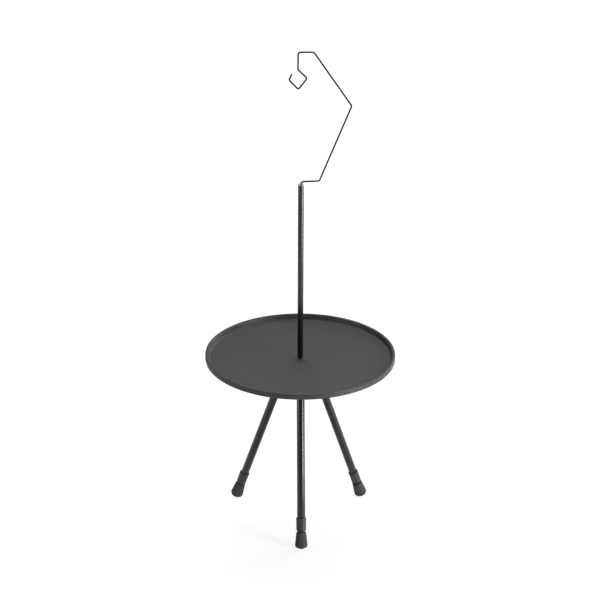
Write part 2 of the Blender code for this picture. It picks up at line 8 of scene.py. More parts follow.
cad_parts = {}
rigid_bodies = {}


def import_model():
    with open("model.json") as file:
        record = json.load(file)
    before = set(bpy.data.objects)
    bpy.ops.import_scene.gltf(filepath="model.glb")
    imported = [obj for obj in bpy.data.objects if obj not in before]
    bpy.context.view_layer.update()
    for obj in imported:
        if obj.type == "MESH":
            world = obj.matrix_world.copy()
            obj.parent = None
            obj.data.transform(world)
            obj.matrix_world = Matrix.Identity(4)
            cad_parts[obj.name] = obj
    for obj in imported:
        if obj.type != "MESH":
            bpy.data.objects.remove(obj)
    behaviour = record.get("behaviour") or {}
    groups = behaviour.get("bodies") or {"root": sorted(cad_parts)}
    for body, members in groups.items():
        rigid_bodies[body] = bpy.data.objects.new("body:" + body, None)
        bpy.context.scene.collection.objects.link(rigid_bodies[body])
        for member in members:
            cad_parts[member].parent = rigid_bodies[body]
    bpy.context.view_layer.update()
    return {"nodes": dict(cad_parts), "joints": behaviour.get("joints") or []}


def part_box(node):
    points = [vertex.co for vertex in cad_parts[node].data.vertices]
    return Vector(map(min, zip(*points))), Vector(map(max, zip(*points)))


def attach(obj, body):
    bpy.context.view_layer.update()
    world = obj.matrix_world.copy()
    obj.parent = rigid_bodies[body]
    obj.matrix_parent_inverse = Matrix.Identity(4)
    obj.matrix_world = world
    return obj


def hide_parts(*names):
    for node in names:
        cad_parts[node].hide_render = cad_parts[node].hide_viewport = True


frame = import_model()

for left_over in list(bpy.data.objects):
    if left_over.type in ("CAMERA", "LIGHT"):
        bpy.data.objects.remove(left_over, do_unlink=True)


# The studio: a white paper floor under white air, with a soft box overhead and a little behind the
# table, a tall and a low one on the right, one behind on the right and a weak one on the left. The
# camera stands far off, which keeps the legs nearly parallel, as in the photo.

scene = bpy.context.scene
scene.view_settings.view_transform = "Standard"

CAMERA_AIM = Vector((-0.0013, 0, 0.6565))
CAMERA_DISTANCE = 7.0
CAMERA_AZIMUTH = math.radians(-1.45)
CAMERA_ELEVATION = math.radians(24.3)
CAMERA_ROLL = math.radians(0.25)
CAMERA_LENS = 154.95
CAMERA_SENSOR = 36.0

camera_data = bpy.data.cameras.new("camera")
camera_data.lens = CAMERA_LENS
camera_data.sensor_width = CAMERA_SENSOR
camera_data.clip_end = 100
camera = bpy.data.objects.new("camera", camera_data)
scene.collection.objects.link(camera)
camera.matrix_world = (
    Matrix.Translation(CAMERA_AIM)
    @ Matrix.Rotation(CAMERA_AZIMUTH, 4, "Z")
    @ Matrix.Rotation(math.pi / 2 - CAMERA_ELEVATION, 4, "X")
    @ Matrix.Translation((0, 0, CAMERA_DISTANCE))
    @ Matrix.Rotation(CAMERA_ROLL, 4, "Z")
)
scene.camera = camera


def add_node(tree, kind, inputs=None, **settings):
    """Adds a node, sets its properties, and sets or links its inputs by name or number. Map Range
    reads value 0 between 1 and 2 and gives 3 to 4, and Mix gives colours 6 to 7 by factor 0."""
    node = tree.nodes.new(kind)
    for name, value in settings.items():
        setattr(node, name, value)
    for name, value in (inputs or {}).items():
        if isinstance(value, bpy.types.NodeSocket):
            tree.links.new(value, node.inputs[name])
        else:
            node.inputs[name].default_value = value
    return node


def linear(hex_colour):
    """An sRGB hex colour as linear RGBA."""
    channels = []
    for start in (1, 3, 5):
        value = int(hex_colour[start : start + 2], 16) / 255
        channels.append(value / 12.92 if value <= 0.04045 else ((value + 0.055) / 1.055) ** 2.4)
    return (*channels, 1.0)


def add_lamp(name, position, target, width, height, power):
    """A soft box that faces the target. It shows in gloss, but the camera doesn't see it."""
    lamp_data = bpy.data.lights.new(name, "AREA")
    lamp_data.shape = "RECTANGLE"
    lamp_data.size = width
    lamp_data.size_y = height
    lamp_data.energy = power
    lamp = bpy.data.objects.new(name, lamp_data)
    scene.collection.objects.link(lamp)
    lamp.location = position
    lamp.rotation_euler = (Vector(target) - Vector(position)).to_track_quat("-Z", "Y").to_euler()
    lamp.visible_camera = False


add_lamp("tall_soft_box_right", (1.90, -1.20, 1.0), (0, 0, 0.7), 0.6, 2.2, 34)
add_lamp("low_soft_box_right", (1.85, -1.25, 0.38), (0, 0, 0.2), 0.6, 0.7, 18)
add_lamp("tall_soft_box_left", (-2.3, -0.9, 1.2), (0, 0, 0.6), 0.9, 1.6, 14)
add_lamp("soft_box_behind_right", (1.9, 1.5, 0.9), (0, 0, 0.5), 1.4, 1.4, 40)
add_lamp("overhead_soft_box", (0.0, 1.0, 2.6), (0, 0, 0.45), 2.0, 1.6, 46)

# The air is white to the camera, and on matt surfaces it lights evenly and at very little. In gloss
# it is brighter in front than behind, and darkens overhead and above the camera, as a studio's
# ceiling and open side do. The fades are the height and the cosine between which each one sets in.
AIR_LIGHT = 0.04
AIR_IN_GLOSS_FRONT = 0.36
AIR_IN_GLOSS_BACK = 0.13
CEILING_SHADE = 0.3
CEILING_FADE = (0.50, 0.85)
CAMERA_SIDE = Vector((0.0, -0.64, 0.77)).normalized()
CAMERA_SHADE = 0.10
CAMERA_FADE = (0.78, 0.92)
WHITE = linear("#ffffff")
world = bpy.data.worlds.new("white_air")
world.use_nodes = True
scene.world = world
air = world.node_tree
air.nodes.clear()
rays = add_node(air, "ShaderNodeLightPath")
toward = add_node(air, "ShaderNodeTexCoord").outputs["Generated"]
toward_parts = add_node(air, "ShaderNodeSeparateXYZ", {0: toward})
front_to_back = add_node(
    air,
    "ShaderNodeMapRange",
    {0: toward_parts.outputs["Y"], 1: -1.0, 2: 1.0, 3: AIR_IN_GLOSS_FRONT, 4: AIR_IN_GLOSS_BACK},
)
below_ceiling = add_node(
    air,
    "ShaderNodeMapRange",
    {0: toward_parts.outputs["Z"], 1: CEILING_FADE[0], 2: CEILING_FADE[1], 3: 1.0, 4: CEILING_SHADE},
    interpolation_type="SMOOTHSTEP",
)
facing = add_node(air, "ShaderNodeVectorMath", {0: toward, 1: CAMERA_SIDE}, operation="DOT_PRODUCT")
beside_camera = add_node(
    air,
    "ShaderNodeMapRange",
    {0: facing.outputs["Value"], 1: CAMERA_FADE[0], 2: CAMERA_FADE[1], 3: 1.0, 4: CAMERA_SHADE},
    interpolation_type="SMOOTHSTEP",
)
shades = add_node(
    air,
    "ShaderNodeMath",
    {0: below_ceiling.outputs[0], 1: beside_camera.outputs[0]},
    operation="MULTIPLY",
)
in_gloss = add_node(
    air, "ShaderNodeMath", {0: front_to_back.outputs[0], 1: shades.outputs[0]}, operation="MULTIPLY"
)
mirrored = add_node(
    air,
    "ShaderNodeMath",
    {0: rays.outputs["Is Glossy Ray"], 1: rays.outputs["Is Transmission Ray"]},
    operation="MAXIMUM",
)
on_object = add_node(
    air, "ShaderNodeMapRange", {0: mirrored.outputs[0], 3: AIR_LIGHT, 4: in_gloss.outputs[0]}
)
strength = add_node(
    air, "ShaderNodeMapRange", {0: rays.outputs["Is Camera Ray"], 3: on_object.outputs[0], 4: 1.0}
)
white = add_node(air, "ShaderNodeBackground", {"Color": WHITE, "Strength": strength.outputs[0]})
add_node(air, "ShaderNodeOutputWorld", {"Surface": white.outputs[0]})

# The floor is a white glow to the camera, with a share of matt paper near the table that keeps the
# shadow and fades out across the shadow zone, in metres from the table's axis. In gloss the glow is
# weak near the table and stronger far off. From below the floor is clear.
FLOOR_SIZE = 60
FLOOR_SHADOW = 0.25
SHADOW_ZONE = (0.5, 1.2)
FLOOR_IN_GLOSS = (0.1, 0.6)
FLOOR_GLOW = 1.14
PAPER_WHITE = linear("#f6f6f6")
bm = bmesh.new()
bmesh.ops.create_grid(bm, x_segments=1, y_segments=1, size=FLOOR_SIZE / 2)
floor_mesh = bpy.data.meshes.new("floor")
bm.to_mesh(floor_mesh)
bm.free()
floor = bpy.data.objects.new("floor", floor_mesh)
scene.collection.objects.link(floor)
floor_paper = bpy.data.materials.new("White_paper_floor")
floor_paper.use_nodes = True
paper = floor_paper.node_tree
paper.nodes.clear()
rays = add_node(paper, "ShaderNodeLightPath")
matte = add_node(paper, "ShaderNodeBsdfDiffuse", {"Color": PAPER_WHITE})
glow = add_node(paper, "ShaderNodeEmission", {"Color": WHITE, "Strength": FLOOR_GLOW})
side = add_node(paper, "ShaderNodeNewGeometry")
distance = add_node(paper, "ShaderNodeVectorMath", {0: side.outputs["Position"]}, operation="LENGTH")
away = add_node(
    paper,
    "ShaderNodeMapRange",
    {0: distance.outputs["Value"], 1: SHADOW_ZONE[0], 2: SHADOW_ZONE[1]},
    interpolation_type="SMOOTHSTEP",
)
in_view = add_node(paper, "ShaderNodeMapRange", {0: away.outputs[0], 3: 1 - FLOOR_SHADOW, 4: 1.0})
away_in_gloss = add_node(
    paper, "ShaderNodeMapRange", {0: away.outputs[0], 3: FLOOR_IN_GLOSS[0], 4: FLOOR_IN_GLOSS[1]}
)
in_gloss = add_node(
    paper,
    "ShaderNodeMath",
    {0: rays.outputs["Is Glossy Ray"], 1: away_in_gloss.outputs[0]},
    operation="MULTIPLY",
)
share = add_node(
    paper,
    "ShaderNodeMapRange",
    {0: rays.outputs["Is Camera Ray"], 3: in_gloss.outputs[0], 4: in_view.outputs[0]},
)
lit = add_node(
    paper, "ShaderNodeMixShader", {0: share.outputs[0], 1: matte.outputs[0], 2: glow.outputs[0]}
)
clear = add_node(paper, "ShaderNodeBsdfTransparent")
one_sided = add_node(
    paper,
    "ShaderNodeMixShader",
    {0: side.outputs["Backfacing"], 1: lit.outputs[0], 2: clear.outputs[0]},
)
add_node(paper, "ShaderNodeOutputMaterial", {"Surface": one_sided.outputs[0]})
floor_mesh.materials.append(floor_paper)


# The tray: one round sheet of aluminium, pressed to a flat floor with a raised rim and a short
# skirt whose edge is rolled under, and coined to a low seat for the pole round its hole. It is
# powder coated in satin black on both sides.

TRAY_FLOOR = 0.4845
TRAY_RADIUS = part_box("tray")[1].x
TRAY_SHEET = 0.0012
TRAY_HOLE_RADIUS = 0.0056
POLE_SEAT_RADIUS = 0.0092
POLE_SEAT_RISE = 0.0003
RIM_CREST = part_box("tray")[1].z
RIM_CREST_RADIUS = 0.0018
RIM_INNER_INSET = 0.0067
RIM_OUTER_INSET = 0.0021
RIM_SLOPE = 75
RIM_FOOT_FILLET = 0.004
HEM_RADIUS = 0.0022
HEM_TURN_UP = 0.0012
TRAY_SIDES = 288
TRAY_FLOOR_RINGS = (0.1, 0.4, 0.7, 0.9, 0.97)
ARC_STEPS = 8
HEM_STEPS = 12


def arc(centre, radius, start, end, steps):
    """Points of an arc as (radius, height), from one angle in degrees to another."""
    points = []
    for step in range(steps + 1):
        angle = math.radians(start + (end - start) * step / steps)
        points.append((centre[0] + radius * math.cos(angle), centre[1] + radius * math.sin(angle)))
    return points


def turned_mesh(name, profile, sides, closed=False):
    """A profile of (radius, height) points turned round the Z axis in rings, faces outwards."""
    bm = bmesh.new()
    rings = []
    for radius, height in profile:
        corners = sides if radius > 0 else 1
        ring = []
        for step in range(corners):
            angle = math.tau * step / sides
            ring.append(bm.verts.new((radius * math.cos(angle), radius * math.sin(angle), height)))
        rings.append(ring)
    following = rings[1:] + rings[:1] if closed else rings[1:]
    for ring, below in zip(rings, following):
        for step in range(sides):
            corners = []
            for around, place in ((ring, step), (ring, step + 1), (below, step + 1), (below, step)):
                corner = around[place % len(around)]
                if corner not in corners:
                    corners.append(corner)
            if len(corners) > 2:
                bm.faces.new(corners)
    bmesh.ops.recalc_face_normals(bm, faces=bm.faces)
    mesh = bpy.data.meshes.new(name)
    bm.to_mesh(mesh)
    bm.free()
    return mesh


def smooth(mesh, angle):
    mesh.shade_smooth()
    mesh.set_sharp_from_angle(angle=math.radians(angle))


def new_piece(name, mesh, material):
    piece = bpy.data.objects.new(name, mesh)
    scene.collection.objects.link(piece)
    mesh.materials.clear()
    mesh.materials.append(material)
    return piece


def new_material(name, settings):
    """A material with its Principled shader, whose named inputs are set, and its Object coordinates."""
    material = bpy.data.materials.new(name)
    material.use_nodes = True
    tree = material.node_tree
    shader = tree.nodes["Principled BSDF"]
    for socket, value in settings.items():
        shader.inputs[socket].default_value = value
    place = add_node(tree, "ShaderNodeTexCoord").outputs["Object"]
    return material, tree, shader, place


def link_finish(tree, shader, **outputs):
    """Links each output to the shader's input of the same name, such as base_color."""
    for name, output in outputs.items():
        tree.links.new(output, shader.inputs[name.replace("_", " ").title()])


# Satin powder coat: a black that scatters light, with a fine orange peel and faint cloudy patches
# about 90 mm across, where the coat lies thicker. The peel is 1.5 mm and is drawn at 3 mm to show.
powder_coat, tree, shader, place = new_material("Powder_coat_satin_black_on_aluminium", {"IOR": 1.5})
POWDER_PEEL = 0.003
POWDER_CLOUD = 0.09
cloud = add_node(
    tree,
    "ShaderNodeTexNoise",
    {"Vector": place, "Scale": 1 / POWDER_CLOUD, "Detail": 3.0, "Roughness": 0.55},
)
tint = add_node(
    tree,
    "ShaderNodeMix",
    {0: cloud.outputs["Fac"], 6: linear("#2e2e2e"), 7: linear("#363636")},
    data_type="RGBA",
)
gloss = add_node(tree, "ShaderNodeMapRange", {0: cloud.outputs["Fac"], 3: 0.48, 4: 0.56})
peel = add_node(tree, "ShaderNodeTexNoise", {"Vector": place, "Scale": 1 / POWDER_PEEL, "Detail": 2.0})
bump = add_node(
    tree, "ShaderNodeBump", {"Height": peel.outputs["Fac"], "Strength": 0.12, "Distance": 0.0004}
)
link_finish(tree, shader, base_color=tint.outputs[2], roughness=gloss.outputs[0], normal=bump.outputs[0])

crest_low = RIM_CREST - RIM_CREST_RADIUS
crest_inner = (TRAY_RADIUS - RIM_INNER_INSET, crest_low)
crest_outer = (TRAY_RADIUS - RIM_OUTER_INSET, crest_low)
slope_top = arc(crest_inner, RIM_CREST_RADIUS, 90 + RIM_SLOPE, 90, ARC_STEPS)
slope_top += arc(crest_outer, RIM_CREST_RADIUS, 90, 0, ARC_STEPS)
fillet_rise = RIM_FOOT_FILLET * (1 - math.cos(math.radians(RIM_SLOPE)))
slope_rise = slope_top[0][1] - TRAY_FLOOR - fillet_rise
fillet_end = slope_top[0][0] - slope_rise / math.tan(math.radians(RIM_SLOPE))
floor_edge = fillet_end - RIM_FOOT_FILLET * math.sin(math.radians(RIM_SLOPE))
hem_centre = (TRAY_RADIUS - HEM_RADIUS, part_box("tray")[0].z + HEM_RADIUS)
profile = [
    (TRAY_HOLE_RADIUS, TRAY_FLOOR + POLE_SEAT_RISE),
    (POLE_SEAT_RADIUS, TRAY_FLOOR + POLE_SEAT_RISE),
    (POLE_SEAT_RADIUS + POLE_SEAT_RISE, TRAY_FLOOR),
]
profile += [(floor_edge * part, TRAY_FLOOR) for part in TRAY_FLOOR_RINGS]
fillet_centre = (floor_edge, TRAY_FLOOR + RIM_FOOT_FILLET)
profile += arc(fillet_centre, RIM_FOOT_FILLET, -90, RIM_SLOPE - 90, ARC_STEPS)
profile += slope_top
profile += arc(hem_centre, HEM_RADIUS, 0, -180, HEM_STEPS)
profile.append((profile[-1][0], profile[-1][1] + HEM_TURN_UP))
tray = new_piece("tray_top", turned_mesh("tray_top", profile, TRAY_SIDES), powder_coat)
if tray.data.polygons[0].normal.z < 0:
    tray.data.flip_normals()
sheet = tray.modifiers.new("sheet", "SOLIDIFY")
sheet.thickness = TRAY_SHEET
sheet.offset = -1
sheet.use_even_offset = True
smooth(tray.data, 40)
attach(tray, "table")
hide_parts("tray")


# The hub: a pressure die casting bolted under the tray. Its round flange, core and three bosses
# run into each other in soft fillets, and its top, its leg seats and its holes are machined flat.

HUB_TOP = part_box("leg_hub")[1].z
HUB_FLANGE_RADIUS = 0.050
HUB_FLANGE_THICKNESS = 0.004
HUB_CORE_TOP_RADIUS = 0.030
HUB_CORE_BOTTOM_RADIUS = 0.021
HUB_DEPTH = 0.0265
HUB_SIDES = 96
BOSS_RADIUS = 0.014
BOSS_LENGTH = 0.037
SEAT_ALLOWANCE = 0.0015
CASTING_VOXEL = 0.0008
SCREW_HOLE_RADIUS = 0.0053
LEG_SOCKET_DEPTH = 0.018
LEG_SEAT_CUT_RADIUS = BOSS_RADIUS + 0.003
LEG_SEAT_CUT_DEPTH = 0.006
STUD_CIRCLE = 0.041
STUD_HOLE_RADIUS = 0.0028
STUD_SIDES = 32
FIRST_STUD_AZIMUTH = math.radians(-30)
FACE_CUT_RADIUS = 0.08
FACE_CUT_HEIGHT = 0.03
POLE_HOLE_DEPTH = 0.04
STUD_HOLE_DEPTH = 0.01
DRILL_OVERRUN = 0.01
LEG_DRILL_OVERRUN = 0.001


def joint_place(joint_name):
    """From the frame of a leg, whose -Z runs down the leg from its seat on the hub, to the table's."""
    for joint in frame["joints"]:
        if joint["name"] == joint_name:
            down = Vector(joint["axis"])
            azimuth = math.atan2(down.y, down.x)
            splay = math.acos(-down.z)
            turn = Matrix.Rotation(azimuth, 4, "Z") @ Matrix.Rotation(-splay, 4, "Y")
            return Matrix.Translation(Vector(joint["pos_m"])) @ turn


def evaluated_mesh(obj):
    """The object's mesh with its modifiers applied. The object itself is removed."""
    bpy.context.view_layer.update()
    graph = bpy.context.evaluated_depsgraph_get()
    mesh = bpy.data.meshes.new_from_object(obj.evaluated_get(graph))
    bpy.data.objects.remove(obj, do_unlink=True)
    return mesh


def shaped_mesh(mesh, tools, operation):
    """The mesh after a Boolean with each tool mesh in turn."""
    for tool in tools:
        work = bpy.data.objects.new("work", mesh)
        cutter = bpy.data.objects.new("cutter", tool)
        scene.collection.objects.link(work)
        scene.collection.objects.link(cutter)
        step = work.modifiers.new("step", "BOOLEAN")
        step.object = cutter
        step.operation = operation
        step.solver = "EXACT"
        mesh = evaluated_mesh(work)
        bpy.data.objects.remove(cutter, do_unlink=True)
    return mesh


def plug_mesh(radius, low, high, matrix=Matrix(), sides=64):
    """A plain round solid, as a tool for a Boolean."""
    mesh = turned_mesh("plug", [(0, high), (radius, high), (radius, low), (0, low)], sides)
    mesh.transform(matrix)
    return mesh


LEG_PLACES = [joint_place(f"collar_{number}_twist") for number in (1, 2, 3)]
casting = turned_mesh(
    "leg_hub_casting",
    [
        (0, HUB_TOP + SEAT_ALLOWANCE),
        (HUB_FLANGE_RADIUS, HUB_TOP + SEAT_ALLOWANCE),
        (HUB_FLANGE_RADIUS, HUB_TOP - HUB_FLANGE_THICKNESS),
        (HUB_CORE_TOP_RADIUS, HUB_TOP - HUB_FLANGE_THICKNESS),
        (HUB_CORE_BOTTOM_RADIUS, HUB_TOP - HUB_DEPTH),
        (0, HUB_TOP - HUB_DEPTH),
    ],
    HUB_SIDES,
)
bosses = [plug_mesh(BOSS_RADIUS, -SEAT_ALLOWANCE, BOSS_LENGTH, leg) for leg in LEG_PLACES]
casting = shaped_mesh(casting, bosses, "UNION")
work = bpy.data.objects.new("work", casting)
scene.collection.objects.link(work)
remesh = work.modifiers.new("casting", "REMESH")
remesh.mode = "VOXEL"
remesh.voxel_size = CASTING_VOXEL
soften = work.modifiers.new("fillets", "SMOOTH")
soften.factor = 0.5
soften.iterations = 7
casting = evaluated_mesh(work)
drill_start = HUB_TOP + DRILL_OVERRUN
machining = [plug_mesh(FACE_CUT_RADIUS, HUB_TOP, HUB_TOP + FACE_CUT_HEIGHT)]
machining.append(plug_mesh(SCREW_HOLE_RADIUS, HUB_TOP - POLE_HOLE_DEPTH, drill_start))
for number, leg in enumerate(LEG_PLACES):
    machining.append(plug_mesh(LEG_SEAT_CUT_RADIUS, -LEG_SEAT_CUT_DEPTH, 0, leg))
    machining.append(plug_mesh(SCREW_HOLE_RADIUS, -LEG_DRILL_OVERRUN, LEG_SOCKET_DEPTH, leg))
    between = FIRST_STUD_AZIMUTH + math.tau * number / 3
    beside = Matrix.Translation((STUD_CIRCLE * math.cos(between), STUD_CIRCLE * math.sin(between), 0))
    hole = plug_mesh(STUD_HOLE_RADIUS, HUB_TOP - STUD_HOLE_DEPTH, drill_start, beside, STUD_SIDES)
    machining.append(hole)
casting = shaped_mesh(casting, machining, "DIFFERENCE")

# The same powder coat over the casting's skin: a sand-like grain of 0.6 mm, drawn at 1.2 mm, and
# patches of 14 mm where the metal flowed
coated_casting, tree, shader, place = new_material(
    "Powder_coat_black_on_die_cast_aluminium", {"IOR": 1.5, "Roughness": 0.55}
)
CAST_GRAIN = 0.0012
CAST_FLOW = 0.014
grain = add_node(
    tree,
    "ShaderNodeTexNoise",
    {"Vector": place, "Scale": 1 / CAST_GRAIN, "Detail": 3.0, "Roughness": 0.6},
)
flow = add_node(tree, "ShaderNodeTexNoise", {"Vector": place, "Scale": 1 / CAST_FLOW, "Detail": 2.0})
tint = add_node(
    tree,
    "ShaderNodeMix",
    {0: flow.outputs["Fac"], 6: linear("#181818"), 7: linear("#242424")},
    data_type="RGBA",
)
bump = add_node(
    tree, "ShaderNodeBump", {"Height": grain.outputs["Fac"], "Strength": 0.25, "Distance": 0.0004}
)
link_finish(tree, shader, base_color=tint.outputs[2], normal=bump.outputs[0])

smooth(casting, 35)
hub = new_piece("leg_hub_casting", casting, coated_casting)
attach(hub, "table")
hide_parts("leg_hub")


# The hub's fixings: three threaded studs welded under the tray, each with a flange nut of zinc
# plated steel. Their threads are rolled, and the nuts are cold formed with chamfered corners.

STUD_RADIUS = 0.0025
STUD_PITCH = 0.0008
STUD_THREAD_DEPTH = 0.0004
NUT_WIDTH = 0.008
NUT_FLANGE_RADIUS = 0.0055
NUT_FLANGE_HEIGHT = 0.001
NUT_FLANGE_CONE_HEIGHT = 0.0016
NUT_CORNER = 0.0005
NUT_DRILL_OVERRUN = 0.001
NUT_SIDES = 48


def divided(profile, spacing):
    """The profile with points added so that no two are further apart than the spacing."""
    points = [profile[0]]
    for start, end in zip(profile, profile[1:]):
        steps = max(1, math.ceil(math.dist(start, end) / spacing))
        for step in range(1, steps + 1):
            share = step / steps
            points.append(tuple(a + (b - a) * share for a, b in zip(start, end)))
    return points


def new_ribs_tree():
    """Geometry Nodes that press grooves into a turned piece. With no turns per metre they are
    straight flutes along the axis, and with one rib and many turns they are a screw thread."""
    tree = bpy.data.node_groups.new("Grooves round an axis", "GeometryNodeTree")
    tree.interface.new_socket("Geometry", in_out="INPUT", socket_type="NodeSocketGeometry")
    for name in ("Ribs", "Turns per metre", "Depth", "Sharpness", "Low", "High", "Fade", "Core radius"):
        tree.interface.new_socket(name, in_out="INPUT", socket_type="NodeSocketFloat")
    tree.interface.new_socket("Material", in_out="INPUT", socket_type="NodeSocketMaterial")
    tree.interface.new_socket("Geometry", in_out="OUTPUT", socket_type="NodeSocketGeometry")
    sizes = add_node(tree, "NodeGroupInput").outputs
    position = add_node(tree, "GeometryNodeInputPosition").outputs[0]
    axes = add_node(tree, "ShaderNodeSeparateXYZ", {0: position}).outputs

    def maths(operation, first, second=0.0):
        node = add_node(tree, "ShaderNodeMath", {0: first, 1: second}, operation=operation)
        return node.outputs[0]

    def fade_in(value, start, end):
        node = add_node(
            tree, "ShaderNodeMapRange", {0: value, 1: start, 2: end}, interpolation_type="SMOOTHSTEP"
        )
        return node.outputs[0]

    round_angle = maths("MULTIPLY", maths("ARCTAN2", axes["Y"], axes["X"]), sizes["Ribs"])
    climb = maths("MULTIPLY", maths("MULTIPLY", axes["Z"], sizes["Turns per metre"]), math.tau)
    wave = maths("COSINE", maths("ADD", round_angle, climb))
    groove = maths("POWER", maths("MULTIPLY", maths("ADD", wave, 1.0), 0.5), sizes["Sharpness"])
    above = fade_in(axes["Z"], sizes["Low"], maths("ADD", sizes["Low"], sizes["Fade"]))
    below = fade_in(axes["Z"], sizes["High"], maths("SUBTRACT", sizes["High"], sizes["Fade"]))
    flat = add_node(tree, "ShaderNodeCombineXYZ", {0: axes["X"], 1: axes["Y"]}).outputs[0]
    radius = add_node(tree, "ShaderNodeVectorMath", {0: flat}, operation="LENGTH")
    outside = maths("GREATER_THAN", radius.outputs["Value"], sizes["Core radius"])
    depth = maths("MULTIPLY", maths("MULTIPLY", groove, sizes["Depth"]), outside)
    depth = maths("MULTIPLY", maths("MULTIPLY", above, below), depth)
    outward = add_node(tree, "ShaderNodeVectorMath", {0: flat}, operation="NORMALIZE").outputs[0]
    push = add_node(
        tree,
        "ShaderNodeVectorMath",
        {0: outward, "Scale": maths("MULTIPLY", depth, -1.0)},
        operation="SCALE",
    )
    pressed = add_node(
        tree, "GeometryNodeSetPosition", {"Geometry": sizes["Geometry"], "Offset": push.outputs[0]}
    )
    real = add_node(tree, "GeometryNodeRealizeInstances", {0: pressed.outputs[0]})
    dressed = add_node(
        tree, "GeometryNodeSetMaterial", {"Geometry": real.outputs[0], "Material": sizes["Material"]}
    )
    add_node(tree, "NodeGroupOutput", {0: dressed.outputs[0]})
    return tree


RIBS_TREE = new_ribs_tree()


def grooved_mesh(mesh, material, **sizes):
    """The mesh after the grooves tree has run on it with these sizes."""
    work = bpy.data.objects.new(mesh.name, mesh)
    scene.collection.objects.link(work)
    grooves = work.modifiers.new("grooves", "NODES")
    grooves.node_group = RIBS_TREE
    for socket in RIBS_TREE.interface.items_tree:
        if socket.in_out == "INPUT" and socket.name != "Geometry":
            key = socket.name.lower().replace(" ", "_")
            grooves[socket.identifier] = material if key == "material" else float(sizes[key])
    return evaluated_mesh(work)


def joined_mesh(name, meshes):
    """One mesh that holds all of these."""
    bm = bmesh.new()
    for mesh in meshes:
        bm.from_mesh(mesh)
    whole = bpy.data.meshes.new(name)
    bm.to_mesh(whole)
    bm.free()
    return whole


# Zinc plating: a pale metal with a soft bluish cast and 4 mm clouds from the bath
zinc_steel, tree, shader, place = new_material("Steel_zinc_plated", {"Metallic": 1.0})
ZINC_CLOUD = 0.004
cloud = add_node(tree, "ShaderNodeTexNoise", {"Vector": place, "Scale": 1 / ZINC_CLOUD, "Detail": 3.0})
tint = add_node(
    tree,
    "ShaderNodeMix",
    {0: cloud.outputs["Fac"], 6: linear("#a9adb3"), 7: linear("#c3c3bc")},
    data_type="RGBA",
)
gloss = add_node(tree, "ShaderNodeMapRange", {0: cloud.outputs["Fac"], 3: 0.25, 4: 0.42})
link_finish(tree, shader, base_color=tint.outputs[2], roughness=gloss.outputs[0])

stud_low, stud_high = (corner.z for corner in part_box("tray_stud_1"))
profile = [(0, stud_high), (STUD_RADIUS, stud_high), (STUD_RADIUS, stud_low + STUD_THREAD_DEPTH)]
profile += [(STUD_RADIUS - STUD_THREAD_DEPTH, stud_low), (0, stud_low)]
stud = grooved_mesh(
    turned_mesh("tray_stud", divided(profile, STUD_PITCH / 6), STUD_SIDES),
    zinc_steel,
    ribs=1,
    turns_per_metre=1 / STUD_PITCH,
    depth=STUD_THREAD_DEPTH,
    sharpness=1.0,
    low=stud_low - STUD_PITCH,
    high=stud_high - 2 * STUD_PITCH,
    fade=STUD_PITCH / 2,
    core_radius=STUD_RADIUS - STUD_THREAD_DEPTH,
)
nut_low, nut_high = (corner.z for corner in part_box("hub_nut_1"))
across_corners = NUT_WIDTH / math.cos(math.pi / 6) / 2
hexagon = plug_mesh(across_corners, nut_low, nut_high - NUT_FLANGE_HEIGHT / 2, Matrix(), 6)
lathe_cut = turned_mesh(
    "nut_blank",
    [
        (0, nut_low),
        (across_corners - NUT_CORNER, nut_low),
        (across_corners + NUT_CORNER, nut_low + NUT_CORNER * 1.2),
        (across_corners + NUT_CORNER, nut_high),
        (0, nut_high),
    ],
    NUT_SIDES,
)
flange = turned_mesh(
    "nut_flange",
    [
        (0, nut_high),
        (NUT_FLANGE_RADIUS, nut_high),
        (NUT_FLANGE_RADIUS, nut_high - NUT_FLANGE_HEIGHT / 2),
        (NUT_WIDTH / 2, nut_high - NUT_FLANGE_CONE_HEIGHT),
        (0, nut_high - NUT_FLANGE_CONE_HEIGHT),
    ],
    NUT_SIDES,
)
nut = shaped_mesh(hexagon, [lathe_cut], "INTERSECT")
nut = shaped_mesh(nut, [flange], "UNION")
drill = plug_mesh(STUD_HOLE_RADIUS, nut_low - NUT_DRILL_OVERRUN, nut_high + NUT_DRILL_OVERRUN)
nut = shaped_mesh(nut, [drill], "DIFFERENCE")
studs, nuts = [], []
for number in (1, 2, 3):
    low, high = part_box(f"hub_nut_{number}")
    beside = Matrix.Translation(((low.x + high.x) / 2, (low.y + high.y) / 2, 0))
    for source, placed in ((stud, studs), (nut, nuts)):
        copy = source.copy()
        copy.transform(beside)
        placed.append(copy)
studs = joined_mesh("tray_studs", studs)
nuts = joined_mesh("hub_nuts", nuts)
smooth(studs, 40)
smooth(nuts, 25)
for name, mesh, node in (("tray_studs", studs, "tray_stud"), ("hub_nuts", nuts, "hub_nut")):
    piece = new_piece(name, mesh, zinc_steel)
    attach(piece, "table")
    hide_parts(*(f"{node}_{number}" for number in (1, 2, 3)))


# The pole: one straight drawn tube of 16 mm aluminium, anodised black, with the cut ends eased.
# Its foot is closed by a turned plug whose screw passes through the tray into the hub.

POLE_RADIUS = 0.008
POLE_BORE = 0.0068
POLE_SCREW_LENGTH = 0.024
SCREW_RADIUS = 0.005
SCREW_CHAMFER = 0.001
SCREW_PITCH = 0.0015
SCREW_THREAD_DEPTH = 0.0009
FIT_GAP = 0.0003
CUT_EASE = 0.00035
TUBE_SIDES = 96
PLUG_SIDES = 64


